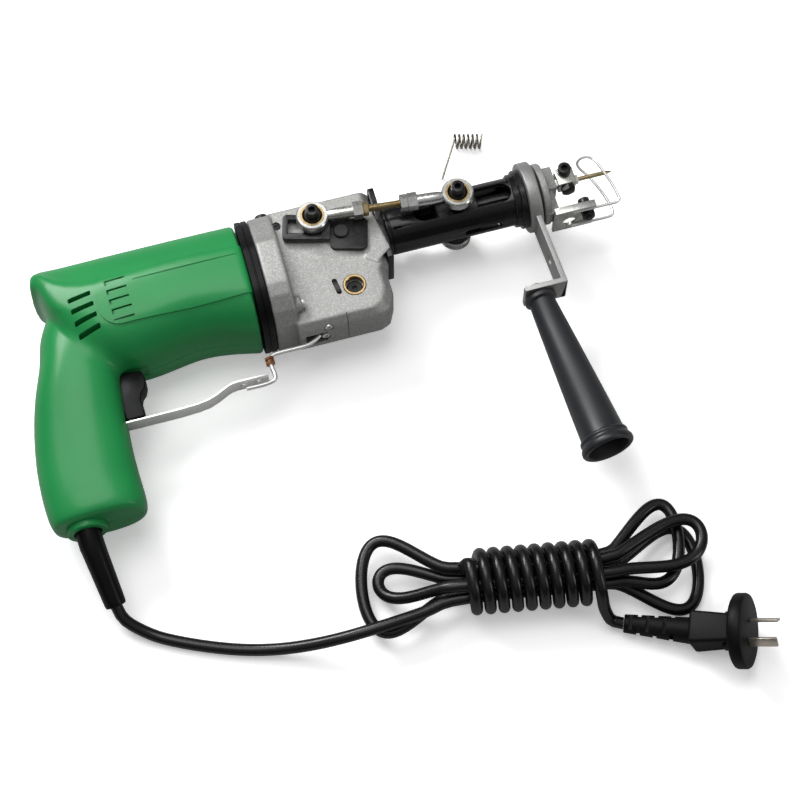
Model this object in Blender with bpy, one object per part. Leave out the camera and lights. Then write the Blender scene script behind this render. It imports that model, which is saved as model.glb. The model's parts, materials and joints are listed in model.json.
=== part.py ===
"""Handheld tufting machine, lying on its far side with its lead in a wound hank beside it.

The machine is modelled in its own frame: X runs along the barrel towards the needle,
Y towards the top of the pistol body, Z out of the near side, with the barrel axis at
y = z = 0 and the crankshaft at x = 0. An empty then lays that frame on the table.
"""

import math

import bmesh
import bpy
from mathutils import Matrix, Vector

# general clearances
GAP = 0.0003
OVERRUN = 0.004
SEAM = 0.00015
TUBE_SPACING = 0.0009

# pistol body: two moulded shells round the motor, with the grip below
HOUSING_FRONT_X = -0.0645
HOUSING_LENGTH = 0.133
HOUSING_HALF_HEIGHT = 0.040
HOUSING_HALF_DEPTH = 0.0375
HOUSING_CROWN = 0.0010
HOUSING_WALL = 0.003
HOUSING_REAR_X = HOUSING_FRONT_X - HOUSING_LENGTH
MOTOR_DROP = 0.0175
GRIP_TOP_Y = -0.016
GRIP_FOOT_Y = -0.1485
GRIP_INSET = 0.0095
GRIP_X = HOUSING_REAR_X + GRIP_INSET
GRIP_HALF_WIDTH = 0.0305
GRIP_HALF_DEPTH = 0.0215
LIE_HEIGHT = HOUSING_HALF_DEPTH

# near half of the case's outline, from top to foot: height and depth as shares
CASE_OUTLINE = (
    (0.998, 0.11),
    (0.970, 0.34),
    (0.740, 0.61),
    (0.430, 0.87),
    (0.290, 0.97),
    (0.120, 1.0),
    (-0.300, 1.0),
    (-0.470, 0.975),
    (-0.650, 0.885),
    (-0.860, 0.68),
    (-0.975, 0.41),
    (-0.998, 0.12),
)
# along the motor case from its front: place, centre, half height, half depth
CASE_SHARES = (
    (0.0, 0.0, 1.0, 1.0),
    (0.13, 0.055, 0.945, 1.0),
    (0.28, 0.095, 0.905, 1.0),
    (0.42, 0.05, 0.95, 1.0),
    (0.60, 0.0, 1.0, 1.0),
    (0.76, 0.05, 0.95, 0.96),
    (0.87, 0.25, 0.74, 0.87),
    (0.945, 0.485, 0.495, 0.73),
    (0.985, 0.57, 0.395, 0.60),
    (1.0, 0.60, 0.335, 0.50),
)
# down the grip from its top: place, centre shift, half width, half depth
GRIP_SHARES = (
    (0.0, 0.42, 0.52, 0.98),
    (0.17, 0.32, 0.80, 1.25),
    (0.32, 0.15, 0.88, 1.16),
    (0.50, -0.02, 0.90, 1.04),
    (0.70, -0.045, 0.985, 1.0),
    (0.88, -0.016, 1.0, 1.0),
    (0.955, 0.012, 0.985, 0.97),
    (0.988, 0.016, 0.93, 0.88),
    (1.0, 0.02, 0.86, 0.76),
)

# cooling slots through the near shell
VENT_COUNT = 4
VENT_INSET = 0.0293
VENT_X = HOUSING_REAR_X + VENT_INSET
VENT_Y = -0.0245
VENT_LENGTH = 0.0150
VENT_WIDTH = 0.0033
VENT_PITCH = 0.0075
VENT_STAGGER = 0.06
VENT_TILT = math.radians(7.0)

# cord boss under the grip
BOSS_SETBACK = 0.0085
BOSS_X = GRIP_X - BOSS_SETBACK
BOSS_RADIUS = 0.0125
BOSS_BORE = 0.0087
BOSS_DROP = 0.0035

# black end collar that carries the front bearing
COLLAR_LENGTH = 0.008
COLLAR_WEB = 0.004
COLLAR_X = HOUSING_FRONT_X + GAP

# motor
SHAFT_RADIUS = 0.004
SHAFT_INSET = 0.0355
SHAFT_REAR_X = HOUSING_REAR_X + SHAFT_INSET
BEARING_WIDTH = 0.007
BEARING_RADIUS = 0.011
STATOR_LENGTH = 0.044
STATOR_INSET = 0.0635
STATOR_X = HOUSING_REAR_X + STATOR_INSET
STATOR_BORE = 0.0212
STATOR_HEIGHT_SHARE = 0.64
ARMATURE_RADIUS = 0.0205
ARMATURE_OVERHANG = 0.002
COMMUTATOR_RADIUS = 0.0115
COMMUTATOR_LENGTH = 0.012
COMMUTATOR_SET = 0.012
COMMUTATOR_X = SHAFT_REAR_X + COMMUTATOR_SET
FAN_SETBACK = 0.020
FAN_X = HOUSING_FRONT_X - FAN_SETBACK
FAN_RADIUS = 0.029
FAN_HUB = 0.009
FAN_WIDTH = 0.009
FAN_DISC = 0.0015
FAN_BLADES = 9
FAN_PHASE = 0.0625
FAN_BLADE = 0.0015
BRUSH_RADIUS = 0.006
RIB_WIDTH = 0.0085
RIB_HALF_HEIGHT = 0.0135

# gears: four-start worm, wheel on the idler shaft, then an equal pair up to the crank
TEETH = 28
WORM_STARTS = 4
WORM_RADIUS = 0.005
WHEEL_RADIUS = 0.0175
GEAR_RADIUS = 0.0185
ADDENDUM = 0.0009
DEDENDUM = 0.0013
TOOTH_SHARE = 0.37
TIP_SHARE = 0.18
ROOT_SHARE = 0.60
WORM_LENGTH = 0.021
WORM_STEPS = 26
WHEEL_WIDTH = 0.006
GEAR_WIDTH = 0.005
GEAR_Z = 0.0068
IDLER_X = -0.001
IDLER_Y = -MOTOR_DROP - WORM_RADIUS - WHEEL_RADIUS
CRANK_Y = IDLER_Y + math.sqrt((2 * GEAR_RADIUS) ** 2 - IDLER_X ** 2)
CRANKSHAFT_RADIUS = 0.005
IDLER_SHAFT_RADIUS = 0.005

# cast gearbox
BOX_HALF_DEPTH = 0.016
BOX_BEVEL_Z = 0.011
BOX_WALL = 0.0026
BOX_REAR_X = -0.043
BOX_TOP_Y = 0.0245
BOX_FRONT_X = 0.024
BOX_CHIN_X = 0.0215
BOX_CHIN_Y = -0.030
BOX_FOOT_Y = -0.0624
BOX_BEVEL = 0.0045
RING_FRONT_X = -0.041
BUSH_RADIUS = 0.0073
BUSH_PROUD = 0.0004
SEAT_RADIUS = 0.011
SEAT_PROUD = 0.001
COVER_FRONT_X = -0.0095
COVER_REAR_X = -0.039
COVER_THICKNESS = 0.0012
COVER_SLOT = 0.0035

# flange plate, barrel and nose
PLATE_THICKNESS = 0.0042
PLATE_TOP_Y = 0.0252
PLATE_FOOT_Y = -0.0265
PLATE_HALF_DEPTH = 0.0155
BARREL_RADIUS = 0.0158
BARREL_BORE = 0.01225
BARREL_END_X = 0.1315
SLOT_REAR_X = 0.048
SLOT_FRONT_X = 0.1134
SLOT_HALF_WIDTH = 0.007
WINDOW_REAR_X = 0.079
WINDOW_FRONT_X = 0.104
WINDOW_WIDTH = 0.005
WINDOW_Z = 0.003
NOSE_COLLAR_X = 0.1137
NOSE_COLLAR_END_X = 0.1215
NOSE_COLLAR_RADIUS = 0.0192
NOSE_COLLAR_STEP = 0.0018
HUB_THICKNESS = 0.0045
HUB_RADIUS = 0.0202
HUB_END_X = 0.1445
HUB_BLOCK_TOP = 0.0140
HUB_BLOCK_HALF_DEPTH = 0.0085
HUB_STEP_Y = -0.0025
HUB_STEP_X = 0.1415

# side handle on its clamp bracket
BRACKET_THICKNESS = 0.0080
BRACKET_RADIUS = 0.0230
ARM_THICKNESS = 0.0034
ARM_HALF_WIDTH = 0.0105
ARM_LEAN = 0.0022
ARM_SETBACK = 0.0020
ARM_HOLE_RADIUS = 0.003
ARM_HOLE_Y = -0.048
TAB_Y = -0.0705
TAB_REACH = 0.0278
HANDLE_SET = 0.0160
HANDLE_X = NOSE_COLLAR_END_X + BRACKET_THICKNESS - ARM_SETBACK - HANDLE_SET
HANDLE_LENGTH = 0.1120
HANDLE_TILT = math.radians(5.1)
HANDLE_TOP_RADIUS = 0.0105
HANDLE_NECK_RADIUS = 0.0085
HANDLE_END_RADIUS = 0.0140
HANDLE_RIM_RADIUS = 0.0168
HANDLE_BORE = 0.0130
HANDLE_BORE_DEPTH = 0.034
HANDLE_BOLT_RADIUS = 0.0025
HANDLE_BOLT_LENGTH = 0.020
BOLT_HEAD_RADIUS = 0.00425
BOLT_HEAD_HEIGHT = 0.005
SOCKET_RADIUS = 0.0023
SOCKET_DEPTH = 0.0027

# crosshead, connecting rods and cranks
CROSSHEAD_X = 0.0774
CROSSHEAD_LENGTH = 0.027
PIN_RADIUS = 0.0055
ROD_PLANE = 0.0260
EYE_HALF_WIDTH = 0.0032
EYE_RADIUS = 0.0103
BALL_RADIUS = 0.0065
BALL_HALF_WIDTH = 0.004
BALL_BOLT_HEAD = 0.0065
RACE_RADIUS = BALL_RADIUS + GAP
CRANK_RADIUS = 0.0191
CRANK_ANGLE = math.radians(144.4)
ARM_ANGLE = math.radians(-15.0)
CRANK_THICKNESS = 0.0044
ROD_NECK_RADIUS = 0.0039
ROD_HEX_RADIUS = 0.0058
ROD_HEX_LENGTH = 0.0062
ROD_END_REACH = 0.0322
STUD_RADIUS = 0.0025
STUD_BURIED = 0.011
NUT_THICKNESS = 0.0045
NUT_RADIUS = 0.0055

# crank arm outline about the rod's pin, along and across the arm
ARM_TAIL = 0.0192
ARM_TOP = 0.0047
ARM_FOOT = 0.013
WEIGHT_NEAR = 0.0110
WEIGHT_FAR = 0.0348
WEIGHT_TOP = 0.003
WEIGHT_FOOT = 0.0190
WEIGHT_CORNER = 0.004
FRAME_SLOT_NEAR = 0.0055
FRAME_SLOT_FAR = 0.0158
FRAME_SLOT_TOP = 0.0012
FRAME_SLOT_FOOT = 0.0085

# needle and its clamp
NEEDLE_Y = 0.003
NEEDLE_Z = 0.0025
NEEDLE_BAR_HALF = 0.0023
NEEDLE_BAR_END_X = 0.1605
NEEDLE_RADIUS = 0.0014
NEEDLE_END_X = 0.184
NEEDLE_POINT = 0.0035
CLAMP_REAR_X = 0.1462
CLAMP_LENGTH = 0.012
CLAMP_FOOT_Y = -0.0045
CLAMP_TOP_Y = 0.0112
CLAMP_FAR_Z = -0.0025
CLAMP_NEAR_Z = 0.0075
CLAMP_BOLT_Y = 0.0081
CLAMP_BOLT_RADIUS = 0.0022

# foot bracket and wire foot
FOOT_PLATE_Y = -0.020
FOOT_PLATE_END_X = 0.1635
FOOT_PLATE_WIDTH = 0.0135
FOOT_PLATE_THICKNESS = 0.002
FOOT_FLANGE = 0.0045
FOOT_HOLE_X = 0.1475
FOOT_HOLE_RADIUS = 0.0045
FOOT_BOLT_SET = 0.0042
FOOT_BOLT_X = FOOT_PLATE_END_X - FOOT_BOLT_SET
FOOT_BOLT_Z = 0.002
FOOT_BOLT_RADIUS = 0.002
FOOT_BOLT_HEAD = 0.0038
FOOT_WASHER = 0.0025
FOOT_WIRE_RADIUS = 0.0009
FOOT_LEG_Z = 0.0085
FOOT_LEG_Y = FOOT_PLATE_Y - FOOT_PLATE_THICKNESS - FOOT_WIRE_RADIUS - GAP
FOOT_REACH = 0.0170
FOOT_REACH_X = FOOT_PLATE_END_X + FOOT_REACH
FOOT_START_X = 0.1485

# wire foot above its legs: set back, height, side
FOOT_BOW = (
    (0.0008, -0.0110, 0.0135),
    (0.0025, -0.0040, 0.0158),
    (0.0045, 0.0045, 0.0166),
    (0.0062, 0.0105, 0.0168),
    (0.0085, 0.0157, 0.0133),
    (0.0115, 0.0182, 0.0050),
    (0.0150, 0.0178, -0.0020),
    (0.0168, 0.0152, -0.0066),
    (0.0165, 0.0120, -0.0090),
    (0.0130, 0.0080, -0.0094),
    (0.0105, 0.0, -0.0090),
    (0.0080, -0.0100, -0.0086),
)

# trigger outline about its pivot, from its rear top corner round to its front top corner
TRIGGER_OUTLINE = (
    (-0.0100, 0.0079),
    (-0.0122, 0.0054),
    (-0.0120, 0.0012),
    (-0.0092, -0.0230),
    (-0.0016, -0.0230),
    (-0.0016, -0.0096),
    (0.0026, -0.0021),
    (0.0038, 0.0030),
    (0.0020, 0.0079),
)

# trigger, switch and trigger guard
TRIGGER_SET = 0.0427
TRIGGER_PIVOT_X = GRIP_X + TRIGGER_SET
TRIGGER_PIVOT_Y = -0.0654
TRIGGER_HALF_DEPTH = 0.0065
TRIGGER_FRONT_X = TRIGGER_PIVOT_X + 0.0038
TRIGGER_BACK_X = TRIGGER_PIVOT_X - 0.0152
TRIGGER_SLOT_TOP_Y = -0.0552
TRIGGER_SLOT_FRONT_X = TRIGGER_FRONT_X + 0.0030
SWITCH_FRONT_X = TRIGGER_BACK_X - 0.0070
SWITCH_LENGTH = 0.022
SWITCH_TOP_Y = -0.060
SWITCH_FOOT_Y = -0.088
SWITCH_HALF_DEPTH = 0.0120
GUARD_HALF_WIDTH = 0.0060
GUARD_THICKNESS = 0.0013
GUARD_REAR_X = TRIGGER_BACK_X - 0.0040
GUARD_Y = -0.0896
GUARD_RISE_X = -0.104
GUARD_CREST_X = -0.088
GUARD_CREST_Y = -0.0808
GUARD_FRONT_X = -0.0675
GUARD_WIRE_RADIUS = 0.0014
GUARD_LEG_X = -0.0655

# mains lead, sleeve, hank and plug
CORD_RADIUS = 0.0037
SLEEVE_TOP_RADIUS = 0.0079
SLEEVE_END_RADIUS = 0.0066
SLEEVE_START = Vector((BOSS_X, -0.1485, 0.0))
SLEEVE_BEND = Vector((BOSS_X, -0.1560, -0.0010))
SLEEVE_END = Vector((-0.1912, -0.1930, -0.0215))
HANK_CENTRE = Vector((0.0540, -0.2440, 0.0))
HANK_ANGLE = math.radians(-10.5)
HANK_WRAPS = 9
LOOP_POINTS = 24
TAIL_STEPS = 5
WRAP_PITCH = 2 * CORD_RADIUS + TUBE_SPACING
STRAND_RING = 2 * CORD_RADIUS + 0.0012
WRAP_RADIUS = STRAND_RING + 2 * CORD_RADIUS + 0.0008
HANK_HEIGHT = WRAP_RADIUS + CORD_RADIUS
BUNDLE_HALF = HANK_WRAPS * WRAP_PITCH / 2 + 0.010
RIGHT_REACH = 0.066
LEFT_REACH = 0.056
PLUG_START = Vector((0.1015, -0.2830, 0.0074))
PLUG_BACK = Vector((0.1395, -0.3000, 0.0118))
PLUG_FACE = Vector((0.1682, -0.3124, 0.0255))
PLUG_RELIEF_LENGTH = 0.039
PLUG_RELIEF_RADIUS = 0.0055
PLUG_NECK_RADIUS = 0.0080
PLUG_BODY_RADIUS = 0.0112
PLUG_RIBS = 6
PLUG_DISC_RADIUS = 0.0226
PLUG_DISC_THICKNESS = 0.0085
PIN_LENGTH = 0.017
PIN_WIDTH = 0.0063
PIN_THICKNESS = 0.0016
PIN_SPREAD = 0.0068
PIN_SPLAY = math.radians(30.0)

# spare torsion spring on the table
SPRING_WIRE_RADIUS = 0.0007
SPRING_COIL_RADIUS = 0.0047
SPRING_TURNS = 6
SPRING_PITCH = 0.0030
SPRING_LEG_END = Vector((0.0825, 0.0487, 0.0))
SPRING_START = Vector((0.0978, 0.0725, 0.0))
SPRING_ANGLE = math.radians(-15.0)
SPRING_POINTS = 9

SEGMENTS = 24
ROUND_SEGMENTS = 12
SMOOTH_ANGLE = math.radians(35.0)

PALETTE = {
    "green_plastic": ((0.010, 0.180, 0.045), 0.35, 0.0),
    "black_plastic": ((0.012, 0.012, 0.013), 0.45, 0.0),
    "black_steel": ((0.020, 0.020, 0.021), 0.40, 0.6),
    "cast_aluminium": ((0.48, 0.48, 0.47), 0.55, 0.8),
    "zinc_steel": ((0.62, 0.62, 0.58), 0.30, 1.0),
    "yellow_zinc": ((0.62, 0.50, 0.25), 0.35, 1.0),
    "bright_steel": ((0.70, 0.70, 0.70), 0.22, 1.0),
    "brass": ((0.70, 0.52, 0.22), 0.30, 1.0),
    "copper": ((0.60, 0.26, 0.13), 0.35, 1.0),
    "lamination": ((0.16, 0.16, 0.17), 0.55, 0.9),
    "grey_handle": ((0.045, 0.046, 0.050), 0.55, 0.0),
}


def clear_scene():
    for old in list(bpy.data.objects):
        bpy.data.objects.remove(old, do_unlink=True)


def make_material(name):
    colour, roughness, metallic = PALETTE[name]
    material = bpy.data.materials.new(name)
    material.use_nodes = True
    shader = material.node_tree.nodes["Principled BSDF"]
    shader.inputs["Base Color"].default_value = (*colour, 1.0)
    shader.inputs["Roughness"].default_value = roughness
    shader.inputs["Metallic"].default_value = metallic
    return material


def add_empty(name, place, parent=None):
    empty = bpy.data.objects.new(name, None)
    empty.location = place
    empty.parent = parent
    bpy.context.collection.objects.link(empty)
    return empty


def add_piece(name, shape, finish, parent, cutter=False):
    """Turn a bmesh built in the machine's frame into an object with its origin on its parent."""
    pivot = parent.location if parent.parent else Vector()
    bmesh.ops.recalc_face_normals(shape, faces=shape.faces)
    if shape.calc_volume(signed=True) < 0.0:
        bmesh.ops.reverse_faces(shape, faces=shape.faces)
    mesh = bpy.data.meshes.new(name)
    shape.to_mesh(mesh)
    shape.free()
    mesh.transform(Matrix.Translation(-pivot))
    piece = bpy.data.objects.new(name, mesh)
    bpy.context.collection.objects.link(piece)
    piece.parent = parent
    if cutter:
        piece.hide_render = True
        piece.display_type = "WIRE"
    else:
        mesh.shade_smooth()
        mesh.set_sharp_from_angle(angle=SMOOTH_ANGLE)
        mesh.materials.append(bpy.data.materials.get(finish) or make_material(finish))
    return piece


def combine(piece, shape, operation):
    """Add or take away a shape with an exact Boolean that stays live on the piece."""
    count = len(piece.modifiers)
    tool = add_piece(f"{piece.name}_tool_{count}", shape, None, piece.parent, cutter=True)
    modifier = piece.modifiers.new(f"{operation.lower()}_{count}", "BOOLEAN")
    modifier.operation = operation
    modifier.object = tool
    modifier.solver = "EXACT"
    return piece


def cut(piece, shape):
    return combine(piece, shape, "DIFFERENCE")


def join(piece, shape):
    return combine(piece, shape, "UNION")


def loft(rings, closed_ends=True):
    """Skin a list of rings that have equal point counts, and fill both ends."""
    shape = bmesh.new()
    loops = [[shape.verts.new(point) for point in ring] for ring in rings]
    count = len(loops[0])
    for first, second in zip(loops, loops[1:]):
        for i in range(count):
            j = (i + 1) % count
            shape.faces.new((first[i], first[j], second[j], second[i]))
    if closed_ends:
        shape.faces.new(loops[0])
        shape.faces.new(loops[-1])
    return shape


def prism(outline, low, high):
    """Outline in X and Y, extruded from low to high along Z."""
    return loft([[Vector((x, y, z)) for x, y in outline] for z in (low, high)])


def block(low, high):
    (x0, y0, z0), (x1, y1, z1) = low, high
    return prism([(x0, y0), (x1, y0), (x1, y1), (x0, y1)], z0, z1)


def turned(profile, segments=SEGMENTS):
    """Turn (height, radius) pairs about Z with a spin."""
    shape = bmesh.new()
    verts = [shape.verts.new((radius, 0.0, height)) for height, radius in profile]
    edges = [shape.edges.new(pair) for pair in zip(verts, verts[1:])]
    if profile[0][1] > 0.0 and profile[-1][1] > 0.0:
        edges.append(shape.edges.new((verts[-1], verts[0])))
    bmesh.ops.spin(shape, geom=verts + edges, axis=(0, 0, 1), cent=(0, 0, 0),
                   angle=math.tau, steps=segments, use_duplicate=False)
    bmesh.ops.remove_doubles(shape, verts=shape.verts, dist=GAP / 100)
    return shape


def aim(shape, start, direction):
    """Carry a shape turned about Z to a start point with Z along the direction."""
    turn = Vector(direction).to_track_quat("Z", "Y").to_matrix().to_4x4()
    shape.transform(Matrix.Translation(start) @ turn)
    return shape


def rod(start, direction, length, radius, segments=ROUND_SEGMENTS):
    return aim(turned([(0.0, 0.0), (0.0, radius), (length, radius), (length, 0.0)], segments),
               start, direction)


def sleeve(start, direction, length, radius, bore, segments=SEGMENTS):
    return aim(turned([(0.0, bore), (0.0, radius), (length, radius), (length, bore)], segments),
               start, direction)


def hexagon(start, direction, length, radius):
    return rod(start, direction, length, radius, 6)


def tube(name, points, radius, finish, parent, resolution=1):
    """Round tube on a poly spline through the points, with closed ends."""
    curve = bpy.data.curves.new(name, "CURVE")
    curve.dimensions = "3D"
    curve.bevel_depth = radius
    curve.bevel_resolution = resolution
    curve.use_fill_caps = True
    spline = curve.splines.new("POLY")
    spline.points.add(len(points) - 1)
    for target, point in zip(spline.points, points):
        target.co = (*point, 1.0)
    spline.use_smooth = True
    piece = bpy.data.objects.new(name, curve)
    curve.materials.append(bpy.data.materials.get(finish) or make_material(finish))
    bpy.context.collection.objects.link(piece)
    piece.parent = parent
    return piece


def curve_through(points, spacing):
    """Points at an even spacing along a smooth curve through the given ones."""
    ends = [points[0] * 2 - points[1], *points, points[-1] * 2 - points[-2]]
    fine = []
    for a, b, c, d in zip(ends, ends[1:], ends[2:], ends[3:]):
        for step in range(12):
            t = step / 12
            fine.append(0.5 * (2 * b + (c - a) * t + (2 * a - 5 * b + 4 * c - d) * t * t
                               + (3 * b - a - 3 * c + d) * t ** 3))
    fine.append(points[-1])
    return resampled(fine, spacing)


def resampled(fine, spacing):
    run = [0.0]
    for a, b in zip(fine, fine[1:]):
        run.append(run[-1] + (b - a).length)
    count = max(2, round(run[-1] / spacing))
    even, i = [], 0
    for step in range(count + 1):
        goal = run[-1] * step / count
        while i < len(run) - 2 and run[i + 1] < goal:
            i += 1
        even.append(fine[i].lerp(fine[i + 1], (goal - run[i]) / max(run[i + 1] - run[i], 1e-9)))
    return even


def superellipse(across, up, power, count=SEGMENTS):
    points = []
    for i in range(count):
        angle = math.tau * (i + 0.5) / count
        c, s = math.cos(angle), math.sin(angle)
        points.append((across * math.copysign(abs(c) ** (2 / power), c),
                       up * math.copysign(abs(s) ** (2 / power), s)))
    return points


def case_ring(x, share, wall=0.0):
    """Section of the motor case across X, shrunk by a wall."""
    _, centre, height, depth = share
    half_y = HOUSING_HALF_HEIGHT * height - wall
    half_z = (HOUSING_HALF_DEPTH + HOUSING_CROWN) * depth - wall
    middle = HOUSING_HALF_HEIGHT * centre - MOTOR_DROP
    near = [Vector((x, middle + half_y * y, half_z * z)) for y, z in CASE_OUTLINE]
    return near + [Vector((x, point.y, -point.z)) for point in reversed(near)]


def case_body(wall=0.0):
    rings = []
    for share in CASE_SHARES:
        x = HOUSING_FRONT_X - HOUSING_LENGTH * share[0]
        rings.append(case_ring(x, share, wall))
    if wall:
        rings[0] = [point + Vector((OVERRUN, 0.0, 0.0)) for point in rings[0]]
        rings[-1] = [point + Vector((wall / 2, 0.0, 0.0)) for point in rings[-1]]
    return loft(rings)


def grip_body(wall=0.0):
    rings = []
    for place, shift, width, depth in GRIP_SHARES:
        y = GRIP_TOP_Y + (GRIP_FOOT_Y - GRIP_TOP_Y) * place
        middle = GRIP_X + GRIP_HALF_WIDTH * shift
        half_x = GRIP_HALF_WIDTH * width - wall
        half_z = GRIP_HALF_DEPTH * depth - wall
        rings.append([Vector((middle + x, y, z)) for x, z in superellipse(half_x, half_z, 2.5, 28)])
    if wall:
        rings = rings[:-1]
        rings[-1] = [point + Vector((0.0, wall / 2, 0.0)) for point in rings[-1]]
    return loft(rings)


def bearing_rib():
    """Rib inside the shells that holds the rear bearing."""
    x = SHAFT_REAR_X - RIB_WIDTH / 2 + BEARING_WIDTH / 2 + GAP
    reach = (HOUSING_HALF_DEPTH - HOUSING_WALL / 2) * 0.96
    return block((x, -MOTOR_DROP - RIB_HALF_HEIGHT, -reach),
                 (x + RIB_WIDTH, -MOTOR_DROP + RIB_HALF_HEIGHT, reach))


def vent_slots():
    slots = []
    for i in range(VENT_COUNT):
        offset = (i - (VENT_COUNT - 1) / 2) * VENT_PITCH
        place = Vector((VENT_X - offset * VENT_STAGGER, VENT_Y + offset, 0.0))
        half = VENT_LENGTH / 2
        bar = block((-half, -VENT_WIDTH / 2, HOUSING_HALF_DEPTH / 2),
                    (half, VENT_WIDTH / 2, HOUSING_HALF_DEPTH + OVERRUN))
        bar.transform(Matrix.Translation(place) @ Matrix.Rotation(VENT_TILT, 4, "Z"))
        slots.append(bar)
    return slots


def housing_shell(name, side, root):
    """One moulded half of the pistol body, hollow and open at the front."""
    shell = add_piece(name, case_body(), "green_plastic", root)
    join(shell, grip_body())
    join(shell, rod((BOSS_X, GRIP_FOOT_Y + OVERRUN, 0.0), (0, -1, 0),
                    OVERRUN + BOSS_DROP, BOSS_RADIUS, SEGMENTS))
    cut(shell, case_body(HOUSING_WALL))
    cut(shell, grip_body(HOUSING_WALL))
    join(shell, bearing_rib())
    cut(shell, rod((SHAFT_REAR_X - OVERRUN, -MOTOR_DROP, 0.0), (1, 0, 0),
                   BEARING_WIDTH + 2 * OVERRUN, BEARING_RADIUS + GAP, SEGMENTS))
    cut(shell, block((SWITCH_FRONT_X - GAP, GUARD_Y - GUARD_THICKNESS / 2 - GAP,
                      -TRIGGER_HALF_DEPTH - GAP),
                     (TRIGGER_SLOT_FRONT_X, TRIGGER_SLOT_TOP_Y, TRIGGER_HALF_DEPTH + GAP)))
    if side > 0:
        for slot in vent_slots():
            cut(shell, slot)
    far = HOUSING_LENGTH * 3
    low, high = sorted((side * HOUSING_HALF_DEPTH, side * far))
    cut(shell, block((-far, -far, low), (far, far, high)))
    low, high = sorted((-side * far, side * SEAM))
    cut(shell, block((-far, -far, low), (far, far, high)))
    cut(shell, rod((BOSS_X, GRIP_FOOT_Y + 2 * OVERRUN, 0.0), (0, -1, 0),
                   4 * OVERRUN, BOSS_BORE, SEGMENTS))
    return shell


def end_collar(root):
    """Black collar between body and gearbox, with a web round the front bearing."""
    share = CASE_SHARES[0]
    collar = add_piece("end_collar", loft([case_ring(COLLAR_X, share),
                                           case_ring(COLLAR_X + COLLAR_LENGTH, share)]),
                       "black_plastic", root)
    cut(collar, loft([case_ring(COLLAR_X - OVERRUN, share, HOUSING_WALL),
                      case_ring(COLLAR_X + COLLAR_LENGTH - COLLAR_WEB, share, HOUSING_WALL)]))
    cut(collar, rod((COLLAR_X - OVERRUN, -MOTOR_DROP, 0.0), (1, 0, 0),
                    COLLAR_LENGTH + 2 * OVERRUN, BEARING_RADIUS + GAP, SEGMENTS))
    for side in (-1, 1):
        low, high = sorted((side * HOUSING_HALF_DEPTH, side * HOUSING_HALF_DEPTH * 2))
        cut(collar, block((COLLAR_X - OVERRUN, -HOUSING_LENGTH, low),
                          (COLLAR_X + COLLAR_LENGTH + OVERRUN, HOUSING_LENGTH, high)))
    return collar


def stator(root):
    """Field pack that the shells hold, bored for the armature."""
    half_z = HOUSING_HALF_DEPTH + HOUSING_CROWN - HOUSING_WALL - GAP
    half_y = HOUSING_HALF_HEIGHT * STATOR_HEIGHT_SHARE
    x0, x1 = STATOR_X, STATOR_X + STATOR_LENGTH
    outline = superellipse(half_y, half_z - HOUSING_CROWN, 2.4)
    rings = [[Vector((x, y - MOTOR_DROP, z)) for y, z in outline] for x in (x0, x1)]
    pack = add_piece("motor_stator", loft(rings), "lamination", root)
    cut(pack, rod((x0 - OVERRUN, -MOTOR_DROP, 0.0), (1, 0, 0),
                  STATOR_LENGTH + 2 * OVERRUN, STATOR_BORE, SEGMENTS))
    return pack


def bearing(name, x, root):
    return add_piece(name, sleeve((x, -MOTOR_DROP, 0.0), (1, 0, 0), BEARING_WIDTH,
                                  BEARING_RADIUS, SHAFT_RADIUS + GAP), "bright_steel", root)


def brush_holder(name, side, root):
    """Carbon brush in its tube, from the commutator out to the shell."""
    start = COMMUTATOR_RADIUS + GAP
    reach = HOUSING_HALF_DEPTH * 0.97 - HOUSING_WALL - 2 * GAP
    place = (COMMUTATOR_X + COMMUTATOR_LENGTH / 2, -MOTOR_DROP, side * start)
    holder = rod(place, (0, 0, side), reach - start, BRUSH_RADIUS, ROUND_SEGMENTS)
    return add_piece(name, holder, "brass", root)


def gear_outline(radius, teeth, phase=0.0, addendum=ADDENDUM):
    """Trapezoid teeth, with a tooth centred on the phase angle."""
    pitch = math.tau / teeth
    outline = []
    for i in range(teeth):
        centre = phase + i * pitch
        for reach, share in ((-DEDENDUM, -ROOT_SHARE), (addendum, -TIP_SHARE),
                             (addendum, TIP_SHARE), (-DEDENDUM, ROOT_SHARE)):
            angle = centre + share * pitch / 2
            outline.append(((radius + reach) * math.cos(angle), (radius + reach) * math.sin(angle)))
    return outline


def gear(name, place, radius, low, width, phase, twist, bore, finish, parent):
    """Toothed wheel about Z, twisted along its width, with a bore."""
    x, y = place
    rings = []
    for z, turn in ((low, -twist), (low + width, twist)):
        outline = gear_outline(radius, TEETH, phase + turn)
        rings.append([Vector((x + u, y + v, z)) for u, v in outline])
    wheel = add_piece(name, loft(rings), finish, parent)
    return cut(wheel, rod((x, y, low - OVERRUN), (0, 0, 1), width + 2 * OVERRUN, bore, ROUND_SEGMENTS))


def worm():
    """Left-handed four-start thread about X, as a lobed section that turns along it."""
    lead = WORM_STARTS * math.tau * WHEEL_RADIUS / TEETH
    rings = []
    for step in range(WORM_STEPS + 1):
        along = (step / WORM_STEPS - 0.5) * WORM_LENGTH
        ring = []
        for start in range(WORM_STARTS):
            centre = math.tau * (start / WORM_STARTS - along / lead)
            for reach, share in ((-DEDENDUM, -ROOT_SHARE), (ADDENDUM, -TIP_SHARE),
                                 (ADDENDUM, TIP_SHARE), (-DEDENDUM, ROOT_SHARE)):
                angle = centre + share * math.pi / WORM_STARTS
                radius = WORM_RADIUS + reach
                ring.append(Vector((IDLER_X + along, radius * math.cos(angle) - MOTOR_DROP,
                                    radius * math.sin(angle))))
        rings.append(ring)
    return loft(rings)


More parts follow.
